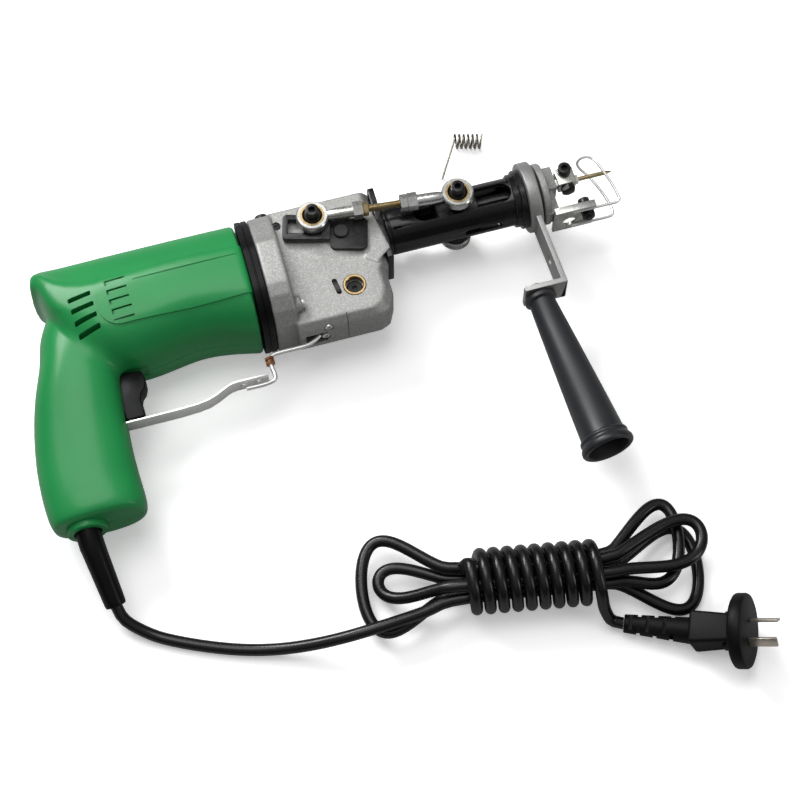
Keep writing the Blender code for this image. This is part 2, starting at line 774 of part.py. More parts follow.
def motor_parts(root):
    axis = add_empty("motor_axis", (0.0, -MOTOR_DROP, 0.0), root)
    worm_end = IDLER_X + WORM_LENGTH / 2
    thread = worm()
    shaft = add_piece("motor_shaft", rod((SHAFT_REAR_X, -MOTOR_DROP, 0.0), (1, 0, 0),
                                         worm_end - WORM_LENGTH + OVERRUN / 2 - SHAFT_REAR_X,
                                         SHAFT_RADIUS * 0.88), "bright_steel", axis)
    join(shaft, thread)
    bore = SHAFT_RADIUS * 0.88 + GAP
    core = sleeve((STATOR_X - ARMATURE_OVERHANG, -MOTOR_DROP, 0.0), (1, 0, 0),
                  STATOR_LENGTH + 2 * ARMATURE_OVERHANG, ARMATURE_RADIUS, bore)
    add_piece("armature", core, "copper", axis)
    ring = sleeve((COMMUTATOR_X, -MOTOR_DROP, 0.0), (1, 0, 0), COMMUTATOR_LENGTH,
                  COMMUTATOR_RADIUS, bore)
    add_piece("commutator", ring, "copper", axis)
    hub = sleeve((FAN_X, -MOTOR_DROP, 0.0), (1, 0, 0), FAN_WIDTH, FAN_HUB, bore)
    fan = add_piece("cooling_fan", hub, "black_plastic", axis)
    join(fan, sleeve((FAN_X, -MOTOR_DROP, 0.0), (1, 0, 0), FAN_DISC, FAN_RADIUS, FAN_HUB * 0.9))
    for i in range(FAN_BLADES):
        blade = block((FAN_X + FAN_DISC / 2, FAN_HUB * 0.85, -FAN_BLADE / 2),
                      (FAN_X + FAN_WIDTH * 0.94, FAN_RADIUS * 0.97, FAN_BLADE / 2))
        blade.transform(Matrix.Translation((0.0, -MOTOR_DROP, 0.0))
                        @ Matrix.Rotation(math.tau * (i + FAN_PHASE) / FAN_BLADES, 4, "X"))
        join(fan, blade)
    return axis


def box_outline(front_inset=0.0, foot_inset=0.0, wall=0.0):
    """Side outline of the gearbox, with its front and foot drawn in, or a wall smaller."""
    front, foot = BOX_FRONT_X - front_inset - wall, BOX_FOOT_Y + foot_inset + wall
    chin = BOX_CHIN_X - front_inset - wall
    top = BOX_TOP_Y - wall
    step = BOX_FRONT_X - BOX_CHIN_X
    corner = BOX_BEVEL
    return [(BOX_REAR_X, foot), (chin - 2.4 * corner, foot), (chin - corner, foot + corner * 0.6),
            (chin, foot + 2.6 * corner), (chin, BOX_CHIN_Y - step), (front, BOX_CHIN_Y),
            (front, top), (BOX_REAR_X, top)]


def gearbox(root):
    """Cast box with a ring that bolts to the motor collar, open towards the motor."""
    rings = []
    for z, inset in ((-BOX_HALF_DEPTH, 1), (-BOX_BEVEL_Z, 0), (BOX_BEVEL_Z, 0), (BOX_HALF_DEPTH, 1)):
        outline = box_outline(inset * BOX_BEVEL, inset * BOX_BEVEL)
        rings.append([Vector((x, y, z)) for x, y in outline])
    box = add_piece("gearbox_case", loft(rings), "cast_aluminium", root)
    ring_x = COLLAR_X + COLLAR_LENGTH + GAP
    share = CASE_SHARES[0]
    join(box, loft([case_ring(ring_x, share), case_ring(RING_FRONT_X, share)]))
    for side in (-1, 1):
        join(box, rod((0.0, CRANK_Y, side * BOX_HALF_DEPTH / 2), (0, 0, side),
                      BOX_HALF_DEPTH / 2 + SEAT_PROUD, SEAT_RADIUS, SEGMENTS))
    cut(box, loft([case_ring(ring_x - OVERRUN, share, HOUSING_WALL),
                   case_ring(RING_FRONT_X - HOUSING_WALL, share, HOUSING_WALL)]))
    inner = box_outline(wall=BOX_WALL)
    inner = [(x - OVERRUN if x == BOX_REAR_X else x, y) for x, y in inner]
    cut(box, prism(inner, -BOX_HALF_DEPTH + BOX_WALL, BOX_HALF_DEPTH - BOX_WALL))
    reach = 2 * BOX_HALF_DEPTH + 2 * OVERRUN
    cut(box, rod((0.0, CRANK_Y, -reach / 2), (0, 0, 1), reach, CRANKSHAFT_RADIUS + GAP, SEGMENTS))
    cut(box, rod((IDLER_X, IDLER_Y, 0.0), (0, 0, 1), reach, BUSH_RADIUS + GAP, SEGMENTS))
    cut(box, rod((IDLER_X, IDLER_Y, -BOX_HALF_DEPTH + BOX_WALL / 4), (0, 0, 1), BOX_HALF_DEPTH,
                 IDLER_SHAFT_RADIUS + GAP, SEGMENTS))
    flatten_sides(box, ring_x, RING_FRONT_X)
    return box


def flatten_sides(piece, x0, x1):
    for side in (-1, 1):
        low, high = sorted((side * HOUSING_HALF_DEPTH, side * HOUSING_HALF_DEPTH * 2))
        cut(piece, block((x0 - OVERRUN, -HOUSING_LENGTH, low), (x1 + OVERRUN, HOUSING_LENGTH, high)))


def gearbox_details(root):
    low = BOX_HALF_DEPTH - BOX_WALL
    bush = sleeve((IDLER_X, IDLER_Y, low), (0, 0, 1), BOX_WALL + BUSH_PROUD,
                  BUSH_RADIUS, IDLER_SHAFT_RADIUS + GAP)
    add_piece("idler_bush", bush, "brass", root)
    plate_top = BOX_FOOT_Y - GAP
    half = BOX_BEVEL_Z - GAP
    cover = add_piece("gearbox_bottom_cover",
                      block((COVER_REAR_X, plate_top - COVER_THICKNESS, -half),
                            (COVER_FRONT_X, plate_top, half)), "cast_aluminium", root)
    cut(cover, block((COVER_REAR_X - OVERRUN, plate_top - 2 * COVER_THICKNESS, -COVER_SLOT / 2),
                     (COVER_REAR_X + 0.45 * (COVER_FRONT_X - COVER_REAR_X),
                      plate_top + OVERRUN, COVER_SLOT / 2)))
    return cover


def gear_train(root):
    """Idler shaft with its worm wheel and pinion, and the crankshaft with its gear."""
    idler = add_empty("idler_axis", (IDLER_X, IDLER_Y, 0.0), root)
    crank = add_empty("crank_axis", (0.0, CRANK_Y, 0.0), root)
    span = BOX_HALF_DEPTH - BOX_WALL / 4 - 2 * GAP
    shaft = rod((IDLER_X, IDLER_Y, -span), (0, 0, 1), 2 * span - BOX_WALL / 2, IDLER_SHAFT_RADIUS)
    add_piece("idler_shaft", shaft, "bright_steel", idler)
    half_tooth = math.pi / TEETH
    lead_slope = WORM_STARTS * WHEEL_RADIUS / TEETH / WORM_RADIUS
    twist = -lead_slope * WHEEL_WIDTH / 2 / WHEEL_RADIUS
    bore = IDLER_SHAFT_RADIUS + GAP
    gear("worm_wheel", (IDLER_X, IDLER_Y), WHEEL_RADIUS, -WHEEL_WIDTH / 2, WHEEL_WIDTH,
         math.pi / 2 + half_tooth, twist, bore, "brass", idler)
    line = math.atan2(CRANK_Y - IDLER_Y, -IDLER_X)
    gear("idler_gear", (IDLER_X, IDLER_Y), GEAR_RADIUS, GEAR_Z, GEAR_WIDTH, line, 0.0,
         bore, "bright_steel", idler)
    gear("crank_gear", (0.0, CRANK_Y), GEAR_RADIUS, GEAR_Z, GEAR_WIDTH,
         line + math.pi + half_tooth, 0.0, CRANKSHAFT_RADIUS + GAP, "bright_steel", crank)
    reach = ROD_PLANE - BALL_HALF_WIDTH - GAP
    add_piece("crankshaft", rod((0.0, CRANK_Y, -reach), (0, 0, 1), 2 * reach, CRANKSHAFT_RADIUS),
              "bright_steel", crank)
    for name, side in (("crank_near", 1), ("crank_far", -1)):
        crank_arm(name, side, crank)
    return crank


def pin_place():
    return Vector((CRANK_RADIUS * math.cos(CRANK_ANGLE),
                   CRANK_Y + CRANK_RADIUS * math.sin(CRANK_ANGLE), 0.0))


def crank_arm(name, side, parent):
    """Slotted arm and balance weight in one plate, laid out from the rod's pin."""
    outline = [(-ARM_TAIL, -ARM_FOOT), (WEIGHT_NEAR, -ARM_FOOT), (WEIGHT_NEAR, -WEIGHT_FOOT + WEIGHT_CORNER),
               (WEIGHT_NEAR + WEIGHT_CORNER, -WEIGHT_FOOT), (WEIGHT_FAR - WEIGHT_CORNER, -WEIGHT_FOOT),
               (WEIGHT_FAR, -WEIGHT_FOOT + WEIGHT_CORNER), (WEIGHT_FAR, WEIGHT_TOP - WEIGHT_CORNER / 2),
               (WEIGHT_FAR - WEIGHT_CORNER / 2, WEIGHT_TOP), (WEIGHT_NEAR, WEIGHT_TOP),
               (WEIGHT_NEAR, ARM_TOP), (-ARM_TAIL, ARM_TOP)]
    high = ROD_PLANE - BALL_HALF_WIDTH - GAP
    low = high - CRANK_THICKNESS
    turn = Matrix.Translation(pin_place()) @ Matrix.Rotation(ARM_ANGLE, 4, "Z")
    z0, z1 = sorted((side * low, side * high))
    shape = prism(outline, z0, z1)
    shape.transform(turn)
    arm = add_piece(name, shape, "black_steel", parent)
    slot = block((-FRAME_SLOT_FAR, -FRAME_SLOT_FOOT, z0 - OVERRUN),
                 (-FRAME_SLOT_NEAR, FRAME_SLOT_TOP, z1 + OVERRUN))
    slot.transform(turn)
    cut(arm, slot)
    step = block((WEIGHT_NEAR, -WEIGHT_FOOT - OVERRUN, ROD_PLANE - ROD_HEX_RADIUS - GAP),
                 (WEIGHT_FAR + OVERRUN, WEIGHT_TOP + OVERRUN, ROD_PLANE))
    if side < 0:
        step.transform(Matrix.Scale(-1, 4, (0, 0, 1)))
    step.transform(turn)
    cut(arm, step)
    cut(arm, rod((0.0, CRANK_Y, z0 - OVERRUN), (0, 0, 1), CRANK_THICKNESS + 2 * OVERRUN,
                 CRANKSHAFT_RADIUS + GAP, SEGMENTS))
    return arm


def barrel_parts(root):
    plate_x = BOX_FRONT_X + GAP
    plate = add_piece("barrel_flange",
                      block((plate_x, PLATE_FOOT_Y, -PLATE_HALF_DEPTH),
                            (plate_x + PLATE_THICKNESS, PLATE_TOP_Y, PLATE_HALF_DEPTH)),
                      "black_steel", root)
    cut(plate, rod((plate_x - OVERRUN, 0.0, 0.0), (1, 0, 0), PLATE_THICKNESS + 2 * OVERRUN,
                   BARREL_BORE, SEGMENTS))
    barrel_x = plate_x + PLATE_THICKNESS + GAP
    barrel = add_piece("barrel", sleeve((barrel_x, 0.0, 0.0), (1, 0, 0), BARREL_END_X - barrel_x,
                                        BARREL_RADIUS, BARREL_BORE, 40), "black_steel", root)
    outline = rounded_slot(SLOT_REAR_X, SLOT_FRONT_X, 0.0, SLOT_HALF_WIDTH)
    cut(barrel, prism(outline, -BARREL_RADIUS - OVERRUN, BARREL_RADIUS + OVERRUN))
    window = rounded_slot(WINDOW_REAR_X, WINDOW_FRONT_X, WINDOW_Z, WINDOW_WIDTH / 2)
    shape = loft([[Vector((x, y, z)) for x, z in window] for y in (-BARREL_RADIUS - OVERRUN, 0.0)])
    cut(barrel, shape)
    collar = aim(turned([(0.0, BARREL_RADIUS + GAP), (0.0, NOSE_COLLAR_RADIUS - NOSE_COLLAR_STEP),
                         (0.004, NOSE_COLLAR_RADIUS - NOSE_COLLAR_STEP), (0.004, NOSE_COLLAR_RADIUS),
                         (NOSE_COLLAR_END_X - NOSE_COLLAR_X, NOSE_COLLAR_RADIUS),
                         (NOSE_COLLAR_END_X - NOSE_COLLAR_X, BARREL_RADIUS + GAP)]),
                 (NOSE_COLLAR_X, 0.0, 0.0), (1, 0, 0))
    add_piece("nose_collar", collar, "black_steel", root)
    nose_hub(root)


def rounded_slot(x0, x1, middle, half, steps=8):
    points = []
    for x, start in ((x1 - half, -math.pi / 2), (x0 + half, math.pi / 2)):
        for i in range(steps + 1):
            angle = start + math.pi * i / steps
            points.append((x + half * math.cos(angle), middle + half * math.sin(angle)))
    return points


def nose_hub(root):
    """Grey nose piece: a disc on the barrel's end with a guide block for the needle bar."""
    x = BARREL_END_X + GAP
    hub = add_piece("nose_hub", rod((x, 0.0, 0.0), (1, 0, 0), HUB_THICKNESS, HUB_RADIUS, SEGMENTS),
                    "cast_aluminium", root)
    join(hub, block((x + HUB_THICKNESS / 2, HUB_STEP_Y, -HUB_BLOCK_HALF_DEPTH),
                    (HUB_END_X, HUB_BLOCK_TOP, HUB_BLOCK_HALF_DEPTH)))
    join(hub, block((x + HUB_THICKNESS / 3, FOOT_PLATE_Y + GAP, -HUB_BLOCK_HALF_DEPTH / 2),
                    (HUB_STEP_X, HUB_STEP_Y + GAP, HUB_BLOCK_HALF_DEPTH * 0.8)))
    half = NEEDLE_BAR_HALF + GAP
    cut(hub, block((x - OVERRUN, NEEDLE_Y - half, NEEDLE_Z - half),
                   (HUB_END_X + OVERRUN, NEEDLE_Y + half, NEEDLE_Z + half)))
    return hub


def handle_direction():
    return Vector((math.sin(HANDLE_TILT), -math.cos(HANDLE_TILT), 0.0))


def handle_parts(root):
    """Clamp ring with its bent arm, the hollow side handle and its bolt."""
    axis = add_empty("handle_axis", (NOSE_COLLAR_END_X, 0.0, 0.0), root)
    x0 = NOSE_COLLAR_END_X + GAP
    x1 = x0 + BRACKET_THICKNESS
    bracket = add_piece("handle_bracket", sleeve((x0, 0.0, 0.0), (1, 0, 0), BRACKET_THICKNESS,
                                                 BRACKET_RADIUS, BARREL_RADIUS + GAP),
                        "cast_aluminium", axis)
    top = -BARREL_RADIUS - 4 * GAP
    lean = ARM_LEAN
    x1 -= ARM_SETBACK
    arm = prism([(x1 - ARM_THICKNESS, top), (x1 - ARM_THICKNESS + lean, TAB_Y), (x1 + lean, TAB_Y),
                 (x1, top)], -ARM_HALF_WIDTH, ARM_HALF_WIDTH)
    join(bracket, arm)
    join(bracket, block((x1 + lean - TAB_REACH, TAB_Y, -ARM_HALF_WIDTH),
                        (x1 + lean - ARM_THICKNESS / 4, TAB_Y + ARM_THICKNESS, ARM_HALF_WIDTH)))
    cut(bracket, rod((x0, ARM_HOLE_Y, 0.0), (1, 0, 0), 2 * BRACKET_THICKNESS, ARM_HOLE_RADIUS))
    seat = Vector((HANDLE_X, TAB_Y + ARM_THICKNESS, 0.0))
    cut(bracket, rod(seat + Vector((0, OVERRUN, 0)), (0, -1, 0), ARM_THICKNESS + 2 * OVERRUN,
                     HANDLE_BOLT_RADIUS + GAP))
    direction = handle_direction()
    start = Vector((HANDLE_X, TAB_Y, 0.0)) + direction * (HANDLE_TOP_RADIUS * math.sin(HANDLE_TILT) + GAP)
    handle = add_piece("side_handle", handle_shape(start, direction), "grey_handle", axis)
    cut(handle, rod(Vector((HANDLE_X, TAB_Y + OVERRUN, 0.0)), (0, -1, 0),
                    HANDLE_BOLT_LENGTH + OVERRUN, HANDLE_BOLT_RADIUS + GAP))
    bolt = cap_screw(seat + Vector((0, GAP, 0)), (0, -1, 0), HANDLE_BOLT_RADIUS,
                     HANDLE_BOLT_LENGTH, BOLT_HEAD_RADIUS, BOLT_HEAD_HEIGHT * 0.7)
    add_piece("handle_bolt", bolt, "zinc_steel", axis)
    return axis


def handle_shape(start, direction):
    """Cone that swells to a flared, hollow end."""
    length, bore = HANDLE_LENGTH, HANDLE_BORE
    rim, end = HANDLE_RIM_RADIUS, HANDLE_END_RADIUS
    flare = 0.5 * (rim - end)
    top = HANDLE_TOP_RADIUS
    profile = [(0.0, 0.0), (0.0, top), (0.3 * top, top), (0.38 * top, HANDLE_NECK_RADIUS),
               (0.45 * length, 0.5 * (HANDLE_NECK_RADIUS + end)), (length - 7 * flare, end),
               (length - 6.2 * flare, end + flare), (length - 4.8 * flare, end + flare),
               (length - 4.4 * flare, end + 0.7 * flare), (length - 2.6 * flare, rim),
               (length - 0.6 * flare, rim), (length, rim - 0.6 * flare), (length, bore),
               (length - HANDLE_BORE_DEPTH, bore * 0.9), (length - HANDLE_BORE_DEPTH, 0.0)]
    return aim(turned(profile), start, direction)


def cap_screw(seat, direction, radius, length, head_radius, head_height):
    """Socket cap screw whose head stands on the seat and whose shank runs along direction."""
    profile = [(length, 0.0), (length, radius), (0.0, radius), (0.0, head_radius),
               (-head_height, head_radius), (-head_height, SOCKET_RADIUS),
               (-head_height + SOCKET_DEPTH, SOCKET_RADIUS), (-head_height + SOCKET_DEPTH, 0.0)]
    return aim(turned(profile, ROUND_SEGMENTS), seat, direction)


def crosshead_parts(root):
    axis = add_empty("crosshead_axis", (CROSSHEAD_X, 0.0, 0.0), root)
    half = CROSSHEAD_LENGTH / 2
    slider = add_piece("crosshead", rod((CROSSHEAD_X - half, 0.0, 0.0), (1, 0, 0), CROSSHEAD_LENGTH,
                                        BARREL_BORE - GAP, SEGMENTS), "zinc_steel", axis)
    reach = ROD_PLANE - BALL_HALF_WIDTH - GAP
    join(slider, rod((CROSSHEAD_X, 0.0, -reach), (0, 0, 1), 2 * reach, PIN_RADIUS))
    for name, side in (("front_ball_bolt_near", 1), ("front_ball_bolt_far", -1)):
        ball_bolt(name, (CROSSHEAD_X, 0.0, 0.0), side, axis)
    needle_parts(axis)
    return axis


def ball_bolt(name, centre, side, parent):
    """Rod-end ball with the cap screw that goes through it."""
    b, w = BALL_RADIUS, BALL_HALF_WIDTH
    face = math.sqrt(b * b - w * w)
    mid = math.sqrt(b * b - w * w / 4)
    head = w + BALL_BOLT_HEAD
    profile = [(-w, 0.0), (-w, face), (-w / 2, mid), (0.0, b), (w / 2, mid), (w, face),
               (w, BOLT_HEAD_RADIUS), (head, BOLT_HEAD_RADIUS), (head, SOCKET_RADIUS),
               (head - SOCKET_DEPTH, SOCKET_RADIUS), (head - SOCKET_DEPTH, 0.0)]
    place = Vector(centre) + Vector((0.0, 0.0, side * ROD_PLANE))
    return add_piece(name, aim(turned(profile, ROUND_SEGMENTS), place, (0, 0, side)),
                     "black_steel", parent)


def needle_parts(axis):
    half = NEEDLE_BAR_HALF
    bar_start = CROSSHEAD_X + CROSSHEAD_LENGTH / 2 + GAP
    bar = block((bar_start, NEEDLE_Y - half, NEEDLE_Z - half),
                (NEEDLE_BAR_END_X, NEEDLE_Y + half, NEEDLE_Z + half))
    bar = add_piece("needle_bar", bar, "bright_steel", axis)
    clamp_end = CLAMP_REAR_X + CLAMP_LENGTH
    cut(bar, rod((clamp_end, NEEDLE_Y, NEEDLE_Z), (1, 0, 0), NEEDLE_END_X - clamp_end,
                 NEEDLE_RADIUS + GAP, 12))
    needle = turned([(0.0, 0.0), (0.0, NEEDLE_RADIUS),
                     (NEEDLE_END_X - clamp_end - NEEDLE_POINT - GAP, NEEDLE_RADIUS),
                     (NEEDLE_END_X - clamp_end - GAP, 0.0)], 12)
    add_piece("needle", aim(needle, (clamp_end + GAP, NEEDLE_Y, NEEDLE_Z), (1, 0, 0)), "brass", axis)
    clamp = add_piece("needle_clamp", block((CLAMP_REAR_X, CLAMP_FOOT_Y, CLAMP_FAR_Z),
                                            (clamp_end, CLAMP_TOP_Y, CLAMP_NEAR_Z)),
                      "zinc_steel", axis)
    grip = half + GAP
    cut(clamp, block((CLAMP_REAR_X - OVERRUN, NEEDLE_Y - grip, NEEDLE_Z - grip),
                     (clamp_end + OVERRUN, NEEDLE_Y + grip, NEEDLE_Z + grip)))
    x = CLAMP_REAR_X + CLAMP_LENGTH / 2
    depth = CLAMP_NEAR_Z - CLAMP_FAR_Z
    cut(clamp, rod((x, CLAMP_BOLT_Y, CLAMP_FAR_Z - OVERRUN), (0, 0, 1), depth + 2 * OVERRUN,
                   CLAMP_BOLT_RADIUS + GAP))
    bolt = cap_screw(Vector((x, CLAMP_BOLT_Y, CLAMP_NEAR_Z + GAP)), (0, 0, -1), CLAMP_BOLT_RADIUS,
                     depth + GAP + NUT_THICKNESS, BOLT_HEAD_RADIUS, BOLT_HEAD_HEIGHT)
    bolt = add_piece("needle_clamp_bolt", bolt, "black_steel", axis)
    join(bolt, hexagon((x, CLAMP_BOLT_Y, CLAMP_FAR_Z - GAP), (0, 0, -1), NUT_THICKNESS * 0.8,
                       NUT_RADIUS * 0.9))


def rod_assembly(label, side, parent, place, angle):
    """Rod end at the crank, threaded stud and nut, rod end at the crosshead."""
    span = (Vector((CROSSHEAD_X, 0.0, 0.0)) - place).length
    lift = side * ROD_PLANE
    turn = Matrix.Translation(place) @ Matrix.Rotation(angle, 4, "Z")
    hex_start = ROD_END_REACH - ROD_HEX_LENGTH
    for name, eye, heading in ((f"rear_rod_end_{label}", 0.0, 1), (f"front_rod_end_{label}", span, -1)):
        piece = add_piece(name, moved(rod((eye, 0.0, lift - EYE_HALF_WIDTH), (0, 0, 1),
                                          2 * EYE_HALF_WIDTH, EYE_RADIUS, 28), turn),
                          "zinc_steel", parent)
        neck = aim(turned([(0.3 * EYE_RADIUS, 0.0), (0.3 * EYE_RADIUS, EYE_HALF_WIDTH * 0.95),
                           (EYE_RADIUS, EYE_HALF_WIDTH * 0.95), (1.6 * EYE_RADIUS, ROD_NECK_RADIUS),
                           (hex_start + GAP, ROD_NECK_RADIUS), (hex_start + GAP, 0.0)], ROUND_SEGMENTS),
                   (eye, 0.0, lift), (heading, 0, 0))
        join(piece, moved(neck, turn))
        join(piece, moved(hexagon((eye + heading * hex_start, 0.0, lift), (heading, 0, 0),
                                  ROD_HEX_LENGTH, ROD_HEX_RADIUS), turn))
        cut(piece, moved(rod((eye + heading * (ROD_END_REACH - STUD_BURIED - GAP), 0.0, lift),
                             (heading, 0, 0), STUD_BURIED + OVERRUN, STUD_RADIUS + GAP, 12), turn))
        cut(piece, moved(rod((eye, 0.0, lift - 2 * EYE_HALF_WIDTH), (0, 0, 1),
                             4 * EYE_HALF_WIDTH, RACE_RADIUS, 28), turn))
    start = ROD_END_REACH - STUD_BURIED
    stud = moved(rod((start, 0.0, lift), (1, 0, 0), span - 2 * start, STUD_RADIUS, 12), turn)
    stud = add_piece(f"rod_stud_{label}", stud, "yellow_zinc", parent)
    join(stud, moved(hexagon((ROD_END_REACH + GAP, 0.0, lift), (1, 0, 0), NUT_THICKNESS * 0.7,
                             NUT_RADIUS * 0.82), turn))
    at = span - ROD_END_REACH - GAP
    nut = add_piece(f"jam_nut_{label}", moved(hexagon((at, 0.0, lift), (-1, 0, 0), NUT_THICKNESS, NUT_RADIUS),
                                              turn), "zinc_steel", parent)
    cut(nut, moved(rod((at + OVERRUN, 0.0, lift), (-1, 0, 0), NUT_THICKNESS + 2 * OVERRUN,
                       STUD_RADIUS + GAP, 12), turn))


def swept(stations, segments=ROUND_SEGMENTS):
    """Round body through stations of centre, direction and radius."""
    rings = []
    for centre, direction, radius in stations:
        side = direction.cross(Vector((0.0, 0.0, 1.0))).normalized()
        other = direction.cross(side)
        rings.append([centre + (side * math.cos(math.tau * i / segments)
                                + other * math.sin(math.tau * i / segments)) * radius
                      for i in range(segments)])
    return loft(rings)


def moved(shape, matrix):
    shape.transform(matrix)
    return shape


def rod_parts(root):
    pin = pin_place()
    reach = Vector((CROSSHEAD_X, 0.0, 0.0)) - pin
    angle = math.atan2(reach.y, reach.x)
    axis = add_empty("rod_axis", (CROSSHEAD_X, 0.0, 0.0), root)
    for label, side in (("near", 1), ("far", -1)):
        rod_assembly(label, side, axis, pin, angle)
        ball_bolt(f"rear_ball_bolt_{label}", pin, side, axis)
    return axis


def foot_parts(root):
    """Channel bracket under the nose, its bolt, and the one-piece wire foot."""
    x0 = BARREL_END_X + GAP + HUB_THICKNESS + GAP
    y, t, w = FOOT_PLATE_Y, FOOT_PLATE_THICKNESS, FOOT_PLATE_WIDTH
    plate = add_piece("foot_bracket", block((x0, y - t, -w), (FOOT_PLATE_END_X, y, w)),
                      "zinc_steel", root)
    join(plate, block((x0, y - FOOT_FLANGE, w - t), (FOOT_PLATE_END_X, y, w)))
    cut(plate, rod((FOOT_HOLE_X, y + OVERRUN, -w / 3), (0, -1, 0), t + 2 * OVERRUN, FOOT_HOLE_RADIUS))
    cut(plate, rod((FOOT_BOLT_X, y + OVERRUN, FOOT_BOLT_Z), (0, -1, 0), t + 2 * OVERRUN,
                   FOOT_BOLT_RADIUS + GAP))
    seat = Vector((FOOT_BOLT_X, y + GAP + FOOT_WASHER, FOOT_BOLT_Z))
    bolt = cap_screw(seat, (0, -1, 0), FOOT_BOLT_RADIUS, FOOT_WASHER + t + 2 * GAP + NUT_THICKNESS,
                     FOOT_BOLT_HEAD, BOLT_HEAD_HEIGHT)
    bolt = add_piece("foot_bolt", bolt, "black_steel", root)
    join(bolt, rod(seat - Vector((0, FOOT_WASHER, 0)), (0, 1, 0), FOOT_WASHER + OVERRUN,
                   FOOT_BOLT_HEAD - GAP, 20))
    join(bolt, hexagon((FOOT_BOLT_X, y - t - GAP, FOOT_BOLT_Z), (0, -1, 0), NUT_THICKNESS * 0.8,
                       NUT_RADIUS * 0.8))
    tube("presser_foot_wire", foot_wire(), FOOT_WIRE_RADIUS, "bright_steel", root, 2)


def foot_wire():
    """Legs along the bracket, then up each side of the needle clamp and over it."""
    near, far, y = FOOT_LEG_Z, -FOOT_LEG_Z, FOOT_LEG_Y
    bend = 3 * FOOT_WIRE_RADIUS
    points = [Vector((FOOT_START_X, y, near)), Vector((FOOT_REACH_X - bend, y, near)),
              Vector((FOOT_REACH_X - bend / 3, y + bend / 3, near)), Vector((FOOT_REACH_X, y + bend, near))]
    for back, height, side in FOOT_BOW:
        points.append(Vector((FOOT_REACH_X - back, height, side)))
    for x, height in ((FOOT_REACH_X - 2 * bend, y + bend), (FOOT_REACH_X - 2.4 * bend, y + bend / 3),
                      (FOOT_REACH_X - 3 * bend, y), (FOOT_START_X, y)):
        points.append(Vector((x, height, far)))
    return points


def trigger_parts(root):
    axis = add_empty("trigger_axis", (TRIGGER_PIVOT_X, TRIGGER_PIVOT_Y, 0.0), root)
    outline = [(TRIGGER_PIVOT_X + x, TRIGGER_PIVOT_Y + y) for x, y in TRIGGER_OUTLINE]
    trigger = prism(outline, -TRIGGER_HALF_DEPTH, TRIGGER_HALF_DEPTH)
    add_piece("trigger", trigger, "black_plastic", axis)
    switch = block((SWITCH_FRONT_X - SWITCH_LENGTH, SWITCH_FOOT_Y, -SWITCH_HALF_DEPTH),
                   (SWITCH_FRONT_X - 2 * GAP, SWITCH_TOP_Y, SWITCH_HALF_DEPTH))
    add_piece("switch_block", switch, "black_plastic", root)
    guard_parts(root)
    return axis


def guard_parts(root):
    """Strip from the grip to the front leg, and the wire that goes up to the gearbox."""
    t = GUARD_THICKNESS
    spine = [(GUARD_REAR_X, GUARD_Y), (GUARD_RISE_X - 0.02, GUARD_Y), (GUARD_RISE_X, GUARD_Y + t / 2),
             (0.5 * (GUARD_RISE_X + GUARD_CREST_X), 0.5 * (GUARD_Y + GUARD_CREST_Y)),
             (GUARD_CREST_X, GUARD_CREST_Y), (GUARD_FRONT_X, GUARD_CREST_Y - t / 2)]
    outline = [(x, y - t / 2) for x, y in spine] + [(x, y + t / 2) for x, y in reversed(spine)]
    add_piece("trigger_guard", prism(outline, -GUARD_HALF_WIDTH, GUARD_HALF_WIDTH),
              "bright_steel", root)
    r = GUARD_WIRE_RADIUS
    under = GUARD_CREST_Y - t - r - 3 * GAP
    foot = -MOTOR_DROP - HOUSING_HALF_HEIGHT - r - 2 * GAP
    cover = BOX_FOOT_Y - COVER_THICKNESS - r - 2 * GAP
    route = [Vector((GUARD_CREST_X + 4 * r, under, 0.0)), Vector((GUARD_FRONT_X - 2 * r, under, 0.0)),
             Vector((GUARD_LEG_X + r, under + r, 0.0)), Vector((GUARD_LEG_X + 1.6 * r, under + 3 * r, 0.0)),
             Vector((GUARD_LEG_X + r, cover - 2.5 * r, 0.0)), Vector((GUARD_LEG_X + 3 * r, cover - 0.4 * r, 0.0)),
             Vector((GUARD_LEG_X + 7 * r, cover, 0.0)), Vector((RING_FRONT_X, cover, 0.0)),
             Vector((COVER_REAR_X + 2 * r, cover, 0.0))]
    tube("guard_wire", curve_through(route, 3 * r), r, "bright_steel", root, 2)
    assert cover < foot


def lead_route():
    """Middle of the free lead, from the sleeve down to the table and round to the hank."""
    table = CORD_RADIUS - LIE_HEIGHT + GAP
    along = (SLEEVE_END - SLEEVE_BEND).normalized()
    first = SLEEVE_END + along * GAP
    route = [first + along * 2 * CORD_RADIUS]
    for x, y, lift in LEAD_POINTS:
        route.append(Vector((x, y, table + lift)))
    start = hank_points()[0]
    heading = (hank_points()[1] - start).normalized()
    route.append(start - heading * 2 * CORD_RADIUS)
    return [first, *curve_through(route, 5 * CORD_RADIUS), start - heading * GAP]


# the tail's way down from the last wrap
TAIL_SHARES = (
    (0.0010, -0.0065, -0.0045),
    (0.0022, -0.0110, -0.0115),
    (0.0036, -0.0145, -0.0190),
)

# the lead's own points on the table: place and height above it
LEAD_POINTS = (
    (-0.1860, -0.2045, 0.0045),
    (-0.1750, -0.2130, 0.0004),
    (-0.1560, -0.2235, 0.0),
    (-0.1290, -0.2350, 0.0),
    (-0.1040, -0.2425, 0.0020),
    (-0.0800, -0.2475, 0.0085),
    (-0.0570, -0.2500, 0.0150),
    (-0.0330, -0.2495, 0.0168),
)


def ring_slot(degrees):
    """Place of a strand across the bundle, on the ring that six strands make."""
    angle = math.radians(degrees)
    return STRAND_RING * math.cos(angle), HANK_HEIGHT + STRAND_RING * math.sin(angle)


